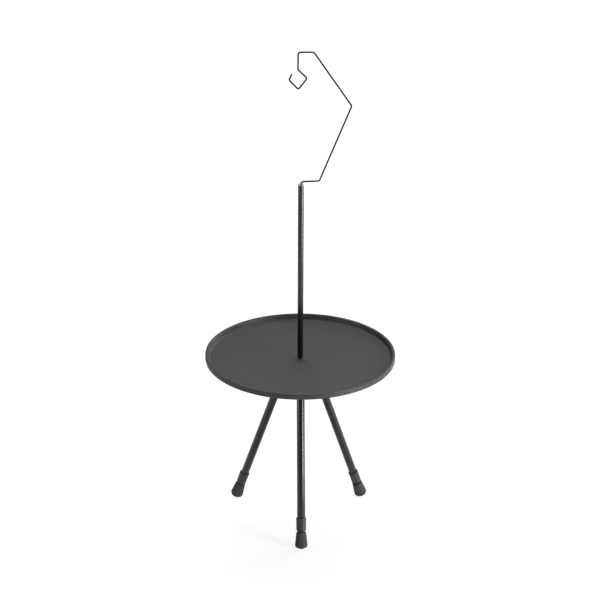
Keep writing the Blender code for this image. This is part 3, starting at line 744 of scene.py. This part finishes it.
def eased(profile, radius, closed=False, steps=3):
    """The profile with each corner turned into a small arc, which takes less than half of its
    sides. A corner that turns by less than 10 degrees stays as it is."""
    count = len(profile)
    points = []
    for index, corner in enumerate(profile):
        if not closed and index in (0, count - 1):
            points.append(corner)
            continue
        corner = Vector(corner)
        back = Vector(profile[index - 1]) - corner
        ahead = Vector(profile[(index + 1) % count]) - corner
        half_angle = back.angle(ahead) / 2
        if half_angle > math.radians(85):
            points.append(tuple(corner))
            continue
        reach = min(radius / math.tan(half_angle), back.length * 0.45, ahead.length * 0.45)
        arc_radius = reach * math.tan(half_angle)
        back.normalize()
        ahead.normalize()
        centre = corner + (back + ahead).normalized() * (arc_radius / math.sin(half_angle))
        start = corner + back * reach - centre
        end = corner + ahead * reach - centre
        for step in range(steps + 1):
            share = step / steps
            swing = start.lerp(end, share).normalized() * arc_radius
            points.append(tuple(centre + swing))
    return points


def keep_own_place(mesh):
    """Stores where each point is before the piece is put in place, for patterns along its axis."""
    own = mesh.attributes.new("own_place", "FLOAT_VECTOR", "POINT")
    own.data.foreach_set("vector", [value for vertex in mesh.vertices for value in vertex.co])


# Black anodising: a dyed clear oxide, deep black with a satin gloss, a little worn by hands in 30 mm
# patches. Die lines from drawing the tube run along it, 0.1 mm wide and drawn at 0.5 mm to show.
anodised, tree, shader, place = new_material("Aluminium_drawn_and_anodised_black", {"IOR": 1.55})
DIE_LINE = 0.0005
DIE_LINE_LENGTH = 0.08
HANDLING_PATCH = 0.03
own = add_node(tree, "ShaderNodeAttribute", attribute_name="own_place").outputs["Vector"]
stretched = add_node(
    tree, "ShaderNodeVectorMath", {0: own, 1: (1, 1, DIE_LINE / DIE_LINE_LENGTH)}, operation="MULTIPLY"
)
lines = add_node(
    tree, "ShaderNodeTexNoise", {"Vector": stretched.outputs[0], "Scale": 1 / DIE_LINE, "Detail": 2.0}
)
patches = add_node(
    tree, "ShaderNodeTexNoise", {"Vector": place, "Scale": 1 / HANDLING_PATCH, "Detail": 3.0}
)
tint = add_node(
    tree,
    "ShaderNodeMix",
    {0: lines.outputs["Fac"], 6: linear("#070708"), 7: linear("#111112")},
    data_type="RGBA",
)
gloss = add_node(
    tree, "ShaderNodeMapRange", {0: patches.outputs["Fac"], 1: 0.3, 2: 0.7, 3: 0.20, 4: 0.28}
)
bump = add_node(
    tree, "ShaderNodeBump", {"Height": lines.outputs["Fac"], "Strength": 0.02, "Distance": 0.0002}
)
link_finish(tree, shader, base_color=tint.outputs[2], roughness=gloss.outputs[0], normal=bump.outputs[0])


def tube_mesh(name, radius, bore, low, high):
    """A straight tube with its cut ends eased."""
    profile = [(radius, high), (radius, low), (bore, low), (bore, high)]
    mesh = turned_mesh(name, eased(profile, CUT_EASE, closed=True), TUBE_SIDES, closed=True)
    smooth(mesh, 35)
    return mesh


pole_low, pole_high = (corner.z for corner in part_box("pole"))
pole_mesh = tube_mesh("pole_tube", POLE_RADIUS, POLE_BORE, pole_low, pole_high)
keep_own_place(pole_mesh)
pole = new_piece("pole_tube", pole_mesh, anodised)
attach(pole, "pole")
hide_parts("pole")


def screw_plug_mesh(name, profile, low, high):
    """A turned plug with a coarse thread between two heights on its screw end."""
    mesh = grooved_mesh(
        turned_mesh(name, divided(eased(profile, CUT_EASE), SCREW_PITCH / 8), PLUG_SIDES),
        anodised,
        ribs=1,
        turns_per_metre=1 / SCREW_PITCH,
        depth=SCREW_THREAD_DEPTH,
        sharpness=1.4,
        low=low,
        high=high,
        fade=SCREW_PITCH,
        core_radius=SCREW_RADIUS - SCREW_THREAD_DEPTH * 1.2,
    )
    keep_own_place(mesh)
    smooth(mesh, 35)
    return mesh


plug_low, plug_high = (corner.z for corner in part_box("pole_screw_plug"))
shank_radius = POLE_BORE - FIT_GAP
plug_base = plug_low + POLE_SCREW_LENGTH
profile = [
    (0, plug_high),
    (shank_radius, plug_high),
    (shank_radius, pole_low - FIT_GAP),
    (POLE_RADIUS, pole_low - FIT_GAP),
    (POLE_RADIUS, plug_base),
    (SCREW_RADIUS, plug_base),
    (SCREW_RADIUS, plug_low + SCREW_CHAMFER),
    (SCREW_RADIUS - SCREW_CHAMFER, plug_low),
    (0, plug_low),
]
thread_end = plug_base - SCREW_PITCH / 2
plug_turned = screw_plug_mesh("pole_foot_plug", profile, plug_low - SCREW_PITCH, thread_end)
foot_plug = new_piece("pole_foot_plug", plug_turned, anodised)
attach(foot_plug, "pole")
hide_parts("pole_screw_plug")


# The top plug: turned from bare aluminium bar, pushed into the pole. Its chamfered flange shows as
# a bright ring on top, and its blind bore holds the foot of the hook.

TOP_PLUG_CHAMFER = 0.0006
TOP_PLUG_EASE = 0.00012
HOOK_BORE = 0.00255
HOOK_BORE_FLOOR = 0.004

# Bare turned aluminium: bright, with fine rings left by the tool, 0.1 mm apart and drawn at 0.4 mm
turned_aluminium, tree, shader, place = new_material(
    "Aluminium_turned_bare", {"Metallic": 1.0, "Base Color": linear("#d2d3d5")}
)
TOOL_RING = 0.0004
axes = add_node(tree, "ShaderNodeSeparateXYZ", {0: place}).outputs
flat = add_node(tree, "ShaderNodeCombineXYZ", {0: axes["X"], 1: axes["Y"]})
from_axis = add_node(tree, "ShaderNodeVectorMath", {0: flat.outputs[0]}, operation="LENGTH")
climb = add_node(tree, "ShaderNodeMath", {0: from_axis.outputs["Value"], 1: axes["Z"]})
turns = add_node(
    tree, "ShaderNodeMath", {0: climb.outputs[0], 1: math.tau / TOOL_RING}, operation="MULTIPLY"
)
rings = add_node(tree, "ShaderNodeMath", {0: turns.outputs[0]}, operation="SINE")
gloss = add_node(tree, "ShaderNodeMapRange", {0: rings.outputs[0], 1: -1.0, 2: 1.0, 3: 0.24, 4: 0.36})
bump = add_node(
    tree, "ShaderNodeBump", {"Height": rings.outputs[0], "Strength": 0.15, "Distance": 0.00005}
)
link_finish(tree, shader, roughness=gloss.outputs[0], normal=bump.outputs[0])

top_low, pole_top = (corner.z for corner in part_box("pole_top_plug"))
profile = [
    (0, top_low + HOOK_BORE_FLOOR),
    (HOOK_BORE, top_low + HOOK_BORE_FLOOR),
    (HOOK_BORE, pole_top),
    (POLE_RADIUS - TOP_PLUG_CHAMFER, pole_top),
    (POLE_RADIUS, pole_top - TOP_PLUG_CHAMFER),
    (POLE_RADIUS, pole_high + FIT_GAP),
    (shank_radius, pole_high + FIT_GAP),
    (shank_radius, top_low + TOP_PLUG_CHAMFER),
    (shank_radius - TOP_PLUG_CHAMFER, top_low),
    (0, top_low),
]
top_plug_mesh = turned_mesh("pole_end_plug", eased(profile, TOP_PLUG_EASE), TUBE_SIDES)
smooth(top_plug_mesh, 30)
top_plug = new_piece("pole_end_plug", top_plug_mesh, turned_aluminium)
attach(top_plug, "top_plug")
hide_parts("pole_top_plug")


# The hook: one length of 4.5 mm steel wire, bent cold in one plane and dipped in black. It stands
# in the top plug, leans out in two struts and comes back to a loop that hangs over the pole.

WIRE_RADIUS = 0.00225
WIRE_BEND_RADIUS = 0.007
LOOP_BEND_RADIUS = 0.0045
WIRE_BEND_STEPS = 14
WIRE_SIDES = 24
WIRE_DOME_RINGS = 7
WIRE_DOME_EDGE = 90 * 6 / 6.3
HOOK_FOOT_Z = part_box("lantern_hook")[0].z
# How far out and up from the pole's top each corner is, and its bend's radius
HOOK_CORNERS = [
    (0, 0.0078, WIRE_BEND_RADIUS),
    (0.0485, 0.0095, WIRE_BEND_RADIUS),
    (0.1325, 0.2205, WIRE_BEND_RADIUS),
    (0.0320, 0.3692, WIRE_BEND_RADIUS),
    (-0.0090, 0.3692, WIRE_BEND_RADIUS),
    (-0.0090, 0.3215, LOOP_BEND_RADIUS),
    (0.0147, 0.2977, LOOP_BEND_RADIUS),
    (-0.0080, 0.2668, LOOP_BEND_RADIUS),
    (-0.0325, 0.2932, LOOP_BEND_RADIUS),
]
HOOK_TIP = (-0.0250, 0.3100)


def bent_path(corners, foot, tip, steps):
    """The wire's centre line, with each corner turned into an arc of its own radius."""
    points = [foot] + [Vector(corner[:2]) for corner in corners] + [tip]
    path = [foot]
    for before, corner, after, (_, _, bend) in zip(points, points[1:], points[2:], corners):
        back = (before - corner).normalized()
        ahead = (after - corner).normalized()
        half_angle = back.angle(ahead) / 2
        reach = bend / math.tan(half_angle)
        centre = corner + (back + ahead).normalized() * (bend / math.sin(half_angle))
        start = corner + back * reach - centre
        end = corner + ahead * reach - centre
        for step in range(steps + 1):
            path.append(centre + start.slerp(end, step / steps) * bend)
    path.append(tip)
    return path


def wire_mesh(name, path, radius, sides):
    """A round wire along a path in the XZ plane, with a dome on its far end."""
    bm = bmesh.new()
    ahead = (path[-1] - path[-2]).normalized()
    stations = [(point, radius) for point in path[:-1]]
    dome_centre = path[-1] - ahead * radius
    for step in range(WIRE_DOME_RINGS):
        angle = math.radians(WIRE_DOME_EDGE * step / (WIRE_DOME_RINGS - 1))
        stations.append((dome_centre + ahead * radius * math.sin(angle), radius * math.cos(angle)))
    rings = []
    for index, (point, ring_radius) in enumerate(stations):
        before = stations[max(index - 1, 0)][0]
        after = stations[min(index + 1, len(stations) - 1)][0]
        along = (after - before).normalized()
        across = Vector((along.y, -along.x))
        ring = []
        for side_number in range(sides):
            angle = math.tau * side_number / sides
            offset = across * ring_radius * math.cos(angle)
            depth = ring_radius * math.sin(angle)
            ring.append(bm.verts.new((point.x + offset.x, depth, point.y + offset.y)))
        rings.append(ring)
    for ring, following in zip(rings, rings[1:]):
        for side_number in range(sides):
            after = (side_number + 1) % sides
            bm.faces.new((ring[side_number], ring[after], following[after], following[side_number]))
    bm.faces.new(rings[0])
    bm.faces.new(rings[-1])
    bmesh.ops.recalc_face_normals(bm, faces=bm.faces)
    mesh = bpy.data.meshes.new(name)
    bm.to_mesh(mesh)
    bm.free()
    return mesh


# Dipped vinyl: a soft, nearly matt black skin, uneven in thickness in waves of 7 mm along the wire,
# with pores of 0.2 mm that are drawn at 0.8 mm
dipped_wire, tree, shader, place = new_material(
    "Vinyl_dipped_black_on_steel_wire", {"IOR": 1.45, "Specular IOR Level": 0.22}
)
DIP_WAVE = 0.007
DIP_PORE = 0.0008
wave = add_node(tree, "ShaderNodeTexNoise", {"Vector": place, "Scale": 1 / DIP_WAVE, "Detail": 1.0})
pore = add_node(tree, "ShaderNodeTexNoise", {"Vector": place, "Scale": 1 / DIP_PORE, "Detail": 2.0})
tint = add_node(
    tree,
    "ShaderNodeMix",
    {0: wave.outputs["Fac"], 6: linear("#050505"), 7: linear("#0c0c0c")},
    data_type="RGBA",
)
gloss = add_node(tree, "ShaderNodeMapRange", {0: wave.outputs["Fac"], 3: 0.58, 4: 0.76})
relief = add_node(
    tree,
    "ShaderNodeMath",
    {0: wave.outputs["Fac"], 1: 3.0, 2: pore.outputs["Fac"]},
    operation="MULTIPLY_ADD",
)
bump = add_node(
    tree, "ShaderNodeBump", {"Height": relief.outputs[0], "Strength": 0.2, "Distance": 0.0002}
)
link_finish(tree, shader, base_color=tint.outputs[2], roughness=gloss.outputs[0], normal=bump.outputs[0])

wire_foot = Vector((0, HOOK_FOOT_Z - pole_top))
wire_path = bent_path(HOOK_CORNERS, wire_foot, Vector(HOOK_TIP), WIRE_BEND_STEPS)
wire_path = [point + Vector((0, pole_top)) for point in wire_path]
hook_mesh = wire_mesh("hook_wire", wire_path, WIRE_RADIUS, WIRE_SIDES)
smooth(hook_mesh, 50)
hook = new_piece("hook_wire", hook_mesh, dipped_wire)
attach(hook, "hook")
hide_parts("lantern_hook")


# The legs: each has a turned screw plug, an outer tube, a twist lock and an inner tube that slides
# out of it. All are made on the leg's own axis and then put in place on the three legs.

LEG_RADIUS = 0.011
LEG_BORE = 0.0098
INNER_RADIUS = 0.009
INNER_BORE = 0.008


def leg_span(node):
    """How far down and up the leg's own axis a node of the first leg reaches."""
    to_leg = LEG_PLACES[0].inverted()
    heights = [(to_leg @ vertex.co).z for vertex in frame["nodes"][node].data.vertices]
    return min(heights), max(heights)


def place_on_legs(name, mesh, material, body, node):
    """Copies the mesh to every leg, where it rides that leg's body and stands for its node."""
    keep_own_place(mesh)
    for number, leg in enumerate(LEG_PLACES, start=1):
        copy = mesh.copy()
        copy.transform(leg)
        piece = new_piece(f"{name}_{number}", copy, material)
        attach(piece, f"{body}_{number}")
        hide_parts(f"{node}_{number}")


tube_low, tube_high = leg_span("leg_tube_1")
plug_low, plug_high = leg_span("leg_plug_1")
leg_shank = LEG_BORE - FIT_GAP
profile = [
    (0, plug_high),
    (SCREW_RADIUS - SCREW_CHAMFER, plug_high),
    (SCREW_RADIUS, plug_high - SCREW_CHAMFER),
    (SCREW_RADIUS, -FIT_GAP),
    (LEG_RADIUS, -FIT_GAP),
    (LEG_RADIUS, tube_high + FIT_GAP),
    (leg_shank, tube_high + FIT_GAP),
    (leg_shank, plug_low),
    (0, plug_low),
]
leg_plug = screw_plug_mesh("leg_screw_plug", profile, SCREW_PITCH / 3, plug_high + SCREW_PITCH)
place_on_legs("leg_screw_plug", leg_plug, anodised, "leg", "leg_plug")

leg_tube = tube_mesh("leg_outer_tube", LEG_RADIUS, LEG_BORE, tube_low, tube_high)
place_on_legs("leg_outer_tube", leg_tube, anodised, "leg", "leg_tube")

inner_low, inner_high = leg_span("inner_tube_1")
inner_tube = tube_mesh("leg_inner_tube", INNER_RADIUS, INNER_BORE, inner_low, inner_high)
place_on_legs("leg_inner_tube", inner_tube, anodised, "inner_leg", "inner_tube")


# The twist lock: a fluted sleeve of moulded black nylon that turns on the outer tube and squeezes a
# split acetal collet on the inner tube. An acetal bush guides the inner tube's hidden end.

COLLAR_TOP_RADIUS = 0.0138
COLLAR_BOTTOM_RADIUS = 0.0133
COLLAR_TOP_CHAMFER = 0.0013
COLLAR_NOSE_LENGTH = 0.0045
COLLAR_NOSE_RADIUS = 0.0119
COLLAR_LIP = 0.002
COLLAR_LIP_GAP = 0.0006
COLLAR_BOTTOM_BORE = 0.0108
COLLAR_EASE = 0.0005
COLLAR_WALL_LEFT = 0.001
COLLAR_FLUTES = 9
COLLAR_FLUTE_DEPTH = 0.0011
COLLAR_FLUTE_FADE = 0.002
COLLAR_RING_SPACING = 0.0006
COLLET_WALL = 0.0014
COLLET_EASE = 0.0002
COLLET_SLOT = 0.0016
COLLET_SLOT_DEPTH = 0.012
BUSH_EASE = 0.0004

# Moulded nylon: satin black, with the fine spark-eroded grain of its mould, 0.3 mm drawn at 0.8 mm,
# and 12 mm clouds from the melt
nylon, tree, shader, place = new_material("Nylon_moulded_spark_grain_black", {"IOR": 1.53})
SPARK_GRAIN = 0.0008
MELT_CLOUD = 0.012
grain = add_node(tree, "ShaderNodeTexNoise", {"Vector": place, "Scale": 1 / SPARK_GRAIN, "Detail": 2.0})
cloud = add_node(tree, "ShaderNodeTexNoise", {"Vector": place, "Scale": 1 / MELT_CLOUD, "Detail": 3.0})
tint = add_node(
    tree,
    "ShaderNodeMix",
    {0: cloud.outputs["Fac"], 6: linear("#2a2a2a"), 7: linear("#343434")},
    data_type="RGBA",
)
gloss = add_node(tree, "ShaderNodeMapRange", {0: grain.outputs["Fac"], 3: 0.40, 4: 0.56})
bump = add_node(
    tree, "ShaderNodeBump", {"Height": grain.outputs["Fac"], "Strength": 0.18, "Distance": 0.0002}
)
link_finish(tree, shader, base_color=tint.outputs[2], roughness=gloss.outputs[0], normal=bump.outputs[0])

# Moulded acetal: a smooth grey with faint flow lines from the gate, 6 mm apart
acetal, tree, shader, place = new_material("Acetal_moulded_grey", {"IOR": 1.48, "Roughness": 0.42})
FLOW_LINE = 0.006
flow = add_node(
    tree,
    "ShaderNodeTexNoise",
    {"Vector": place, "Scale": 1 / FLOW_LINE, "Detail": 3.0, "Distortion": 1.5},
)
tint = add_node(
    tree,
    "ShaderNodeMix",
    {0: flow.outputs["Fac"], 6: linear("#5c5d5f"), 7: linear("#6b6c6e")},
    data_type="RGBA",
)
bump = add_node(
    tree, "ShaderNodeBump", {"Height": flow.outputs["Fac"], "Strength": 0.06, "Distance": 0.0002}
)
link_finish(tree, shader, base_color=tint.outputs[2], normal=bump.outputs[0])

collar_low, collar_high = leg_span("twist_collar_1")
lip_bore = INNER_RADIUS + COLLAR_LIP_GAP
grip_bore = LEG_RADIUS + FIT_GAP
profile = [
    (COLLAR_TOP_RADIUS - COLLAR_TOP_CHAMFER, collar_high),
    (COLLAR_TOP_RADIUS, collar_high - COLLAR_TOP_CHAMFER),
    (COLLAR_BOTTOM_RADIUS, collar_low + COLLAR_NOSE_LENGTH),
    (COLLAR_NOSE_RADIUS, collar_low),
    (lip_bore, collar_low),
    (lip_bore, collar_low + COLLAR_LIP),
    (COLLAR_BOTTOM_BORE, collar_low + COLLAR_LIP),
    (grip_bore, tube_low - FIT_GAP),
    (grip_bore, collar_high),
]
collar = eased(profile, COLLAR_EASE, closed=True)
inside = COLLAR_NOSE_RADIUS - COLLAR_WALL_LEFT
outer_end = next(index for index, (radius, _) in enumerate(collar) if radius < inside)
collar = divided(collar[:outer_end], COLLAR_RING_SPACING) + collar[outer_end:]
collar = grooved_mesh(
    turned_mesh("collar_sleeve", collar, 20 * COLLAR_FLUTES, closed=True),
    nylon,
    ribs=COLLAR_FLUTES,
    turns_per_metre=0,
    depth=COLLAR_FLUTE_DEPTH,
    sharpness=1.6,
    low=collar_low + COLLAR_NOSE_LENGTH - COLLAR_EASE,
    high=collar_high - 2 * COLLAR_TOP_CHAMFER,
    fade=COLLAR_FLUTE_FADE,
    core_radius=grip_bore + COLLAR_WALL_LEFT,
)
smooth(collar, 50)
place_on_legs("collar_sleeve", collar, nylon, "collar", "twist_collar")

collet_low, collet_high = leg_span("leg_collet_1")
collet_bore = INNER_RADIUS + FIT_GAP
profile = [
    (collet_bore + COLLET_WALL, collet_high),
    (COLLAR_BOTTOM_BORE - FIT_GAP, collet_low),
    (collet_bore, collet_low),
    (collet_bore, collet_high),
]
collet = eased(profile, COLLET_EASE, closed=True)
collet = turned_mesh("split_collet", collet, TUBE_SIDES, closed=True)
slots = []
for quarter in range(4):
    bm = bmesh.new()
    turn = Matrix.Rotation(math.radians(45 + 90 * quarter), 4, "Z")
    middle = Matrix.Translation((INNER_RADIUS, 0, collet_low + COLLET_SLOT_DEPTH / 2 - FIT_GAP))
    size = Matrix.Diagonal((LEG_RADIUS, COLLET_SLOT, COLLET_SLOT_DEPTH + FIT_GAP, 1))
    bmesh.ops.create_cube(bm, size=1, matrix=turn @ middle @ size)
    slot = bpy.data.meshes.new("slot")
    bm.to_mesh(slot)
    bm.free()
    slots.append(slot)
collet = shaped_mesh(collet, slots, "DIFFERENCE")
smooth(collet, 35)
place_on_legs("split_collet", collet, acetal, "leg", "leg_collet")

bush_low, bush_high = leg_span("guide_bush_1")
bush_step = inner_high + FIT_GAP
profile = [
    (0, bush_high),
    (LEG_BORE - FIT_GAP, bush_high),
    (LEG_BORE - FIT_GAP, bush_step),
    (INNER_BORE - FIT_GAP, bush_step),
    (INNER_BORE - FIT_GAP, bush_low),
    (0, bush_low),
]
bush = turned_mesh("inner_bush", eased(profile, BUSH_EASE), PLUG_SIDES)
smooth(bush, 35)
place_on_legs("inner_bush", bush, acetal, "inner_leg", "guide_bush")


# The foot: a bell of moulded black rubber pushed over the inner tube's end, with flutes down its
# side, a plain band on top, and a domed sole with crossed grooves that squashes flat on the ground.

FOOT_LENGTH = 0.047
FOOT_BELOW_COLLAR = 0.003
FOOT_TOP_RADIUS = 0.0137
FOOT_TOP_CHAMFER = 0.0009
FOOT_EASE = 0.0003
FOOT_RADIUS = 0.0174
FOOT_BELL_HEIGHT = 0.0125
FOOT_WALL_LEFT = 0.001
FOOT_RING_SPACING = 0.0007
SOLE_DOME_RADIUS = 0.0195
SOLE_DOME_EDGE = 0.0115
SOLE_DOME_STEPS = 24
FOOT_FLUTES = 16
FOOT_FLUTE_DEPTH = 0.0012
FOOT_FLUTE_START = 0.009
FOOT_FLUTE_FADE = 0.003
SOLE_GROOVE_WIDTH = 0.0026
SOLE_GROOVE_DEPTH = 0.0016
SOLE_GROOVE_EDGES = (1.25, 0.90)
SOLE_GROOVE_TOP = 0.008
SOLE_GROOVE_FADE = 0.003

# Moulded rubber: a dull black with a soft bloom in 10 mm clouds, a matt grain of 0.5 mm drawn at
# 1 mm, and pale dust where the sole meets the ground
rubber, tree, shader, place = new_material("Rubber_moulded_black", {"IOR": 1.52, "Roughness": 0.66})
RUBBER_GRAIN = 0.001
RUBBER_BLOOM = 0.01
grain = add_node(
    tree, "ShaderNodeTexNoise", {"Vector": place, "Scale": 1 / RUBBER_GRAIN, "Detail": 2.0}
)
bloom = add_node(
    tree, "ShaderNodeTexNoise", {"Vector": place, "Scale": 1 / RUBBER_BLOOM, "Detail": 4.0}
)
tint = add_node(
    tree,
    "ShaderNodeMix",
    {0: bloom.outputs["Fac"], 6: linear("#2e2e2e"), 7: linear("#3a3a3a")},
    data_type="RGBA",
)
ground = add_node(tree, "ShaderNodeSeparateXYZ", {0: place}).outputs["Z"]
near_ground = add_node(tree, "ShaderNodeMapRange", {0: ground, 1: 0.004, 2: 0.0, 3: 0.0, 4: 0.5})
dusty = add_node(
    tree, "ShaderNodeMath", {0: near_ground.outputs[0], 1: bloom.outputs["Fac"]}, operation="MULTIPLY"
)
tint = add_node(
    tree,
    "ShaderNodeMix",
    {0: dusty.outputs[0], 6: tint.outputs[2], 7: linear("#6a655e")},
    data_type="RGBA",
)
bump = add_node(
    tree, "ShaderNodeBump", {"Height": grain.outputs["Fac"], "Strength": 0.25, "Distance": 0.0003}
)
link_finish(tree, shader, base_color=tint.outputs[2], normal=bump.outputs[0])

foot_top = collar_low - FOOT_BELOW_COLLAR
sole = foot_top - FOOT_LENGTH
bell = sole + FOOT_BELL_HEIGHT
dome_angle = math.degrees(math.asin(SOLE_DOME_EDGE / SOLE_DOME_RADIUS)) - 90
dome_centre = (0, sole + SOLE_DOME_RADIUS)
dome = arc(dome_centre, SOLE_DOME_RADIUS, dome_angle, -90, SOLE_DOME_STEPS)
turn_height = bell - dome[0][1]
bore = INNER_RADIUS + FIT_GAP
profile = [
    (0, inner_low - FIT_GAP),
    (bore, inner_low - FIT_GAP),
    (bore, foot_top),
    (FOOT_TOP_RADIUS - FOOT_TOP_CHAMFER, foot_top),
    (FOOT_TOP_RADIUS, foot_top - FOOT_TOP_CHAMFER),
]
profile = eased(profile, FOOT_EASE)
profile += divided([profile[-1], (FOOT_RADIUS, bell)], FOOT_RING_SPACING)[1:]
for degrees in range(8, 90, 8):
    angle = math.radians(degrees)
    radius = SOLE_DOME_EDGE + (FOOT_RADIUS - SOLE_DOME_EDGE) * math.cos(angle)
    profile.append((radius, bell - turn_height * math.sin(angle)))
profile += dome[:-1] + [(0, sole)]
foot = grooved_mesh(
    turned_mesh("fluted_foot", profile, 12 * FOOT_FLUTES),
    rubber,
    ribs=FOOT_FLUTES,
    turns_per_metre=0,
    depth=FOOT_FLUTE_DEPTH,
    sharpness=1.3,
    low=sole + FOOT_FLUTE_START,
    high=foot_top - 5 * FOOT_TOP_CHAMFER,
    fade=FOOT_FLUTE_FADE,
    core_radius=bore + FOOT_WALL_LEFT,
)
# Two grooves cross the sole. Their walls slope between two shares of half the groove's width.
groove_open, groove_floor = SOLE_GROOVE_EDGES
quarter_turn = Matrix.Rotation(math.radians(45), 4, "Z")
for vertex in foot.vertices:
    across = quarter_turn @ vertex.co
    from_groove = min(abs(across.x), abs(across.y)) / (SOLE_GROOVE_WIDTH / 2)
    below_turn = (sole + SOLE_GROOVE_TOP - vertex.co.z) / SOLE_GROOVE_FADE
    if from_groove < groove_open and below_turn > 0:
        wall = min(1.0, (groove_open - from_groove) / (groove_open - groove_floor))
        vertex.co.z += SOLE_GROOVE_DEPTH * wall * min(1.0, below_turn)
smooth(foot, 60)
keep_own_place(foot)
for number, leg in enumerate(LEG_PLACES, start=1):
    pressed = foot.copy()
    pressed.transform(leg)
    for vertex in pressed.vertices:
        vertex.co.z = max(vertex.co.z, 0.0)
    piece = new_piece(f"fluted_foot_{number}", pressed, rubber)
    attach(piece, f"inner_leg_{number}")
    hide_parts(f"rubber_foot_{number}")
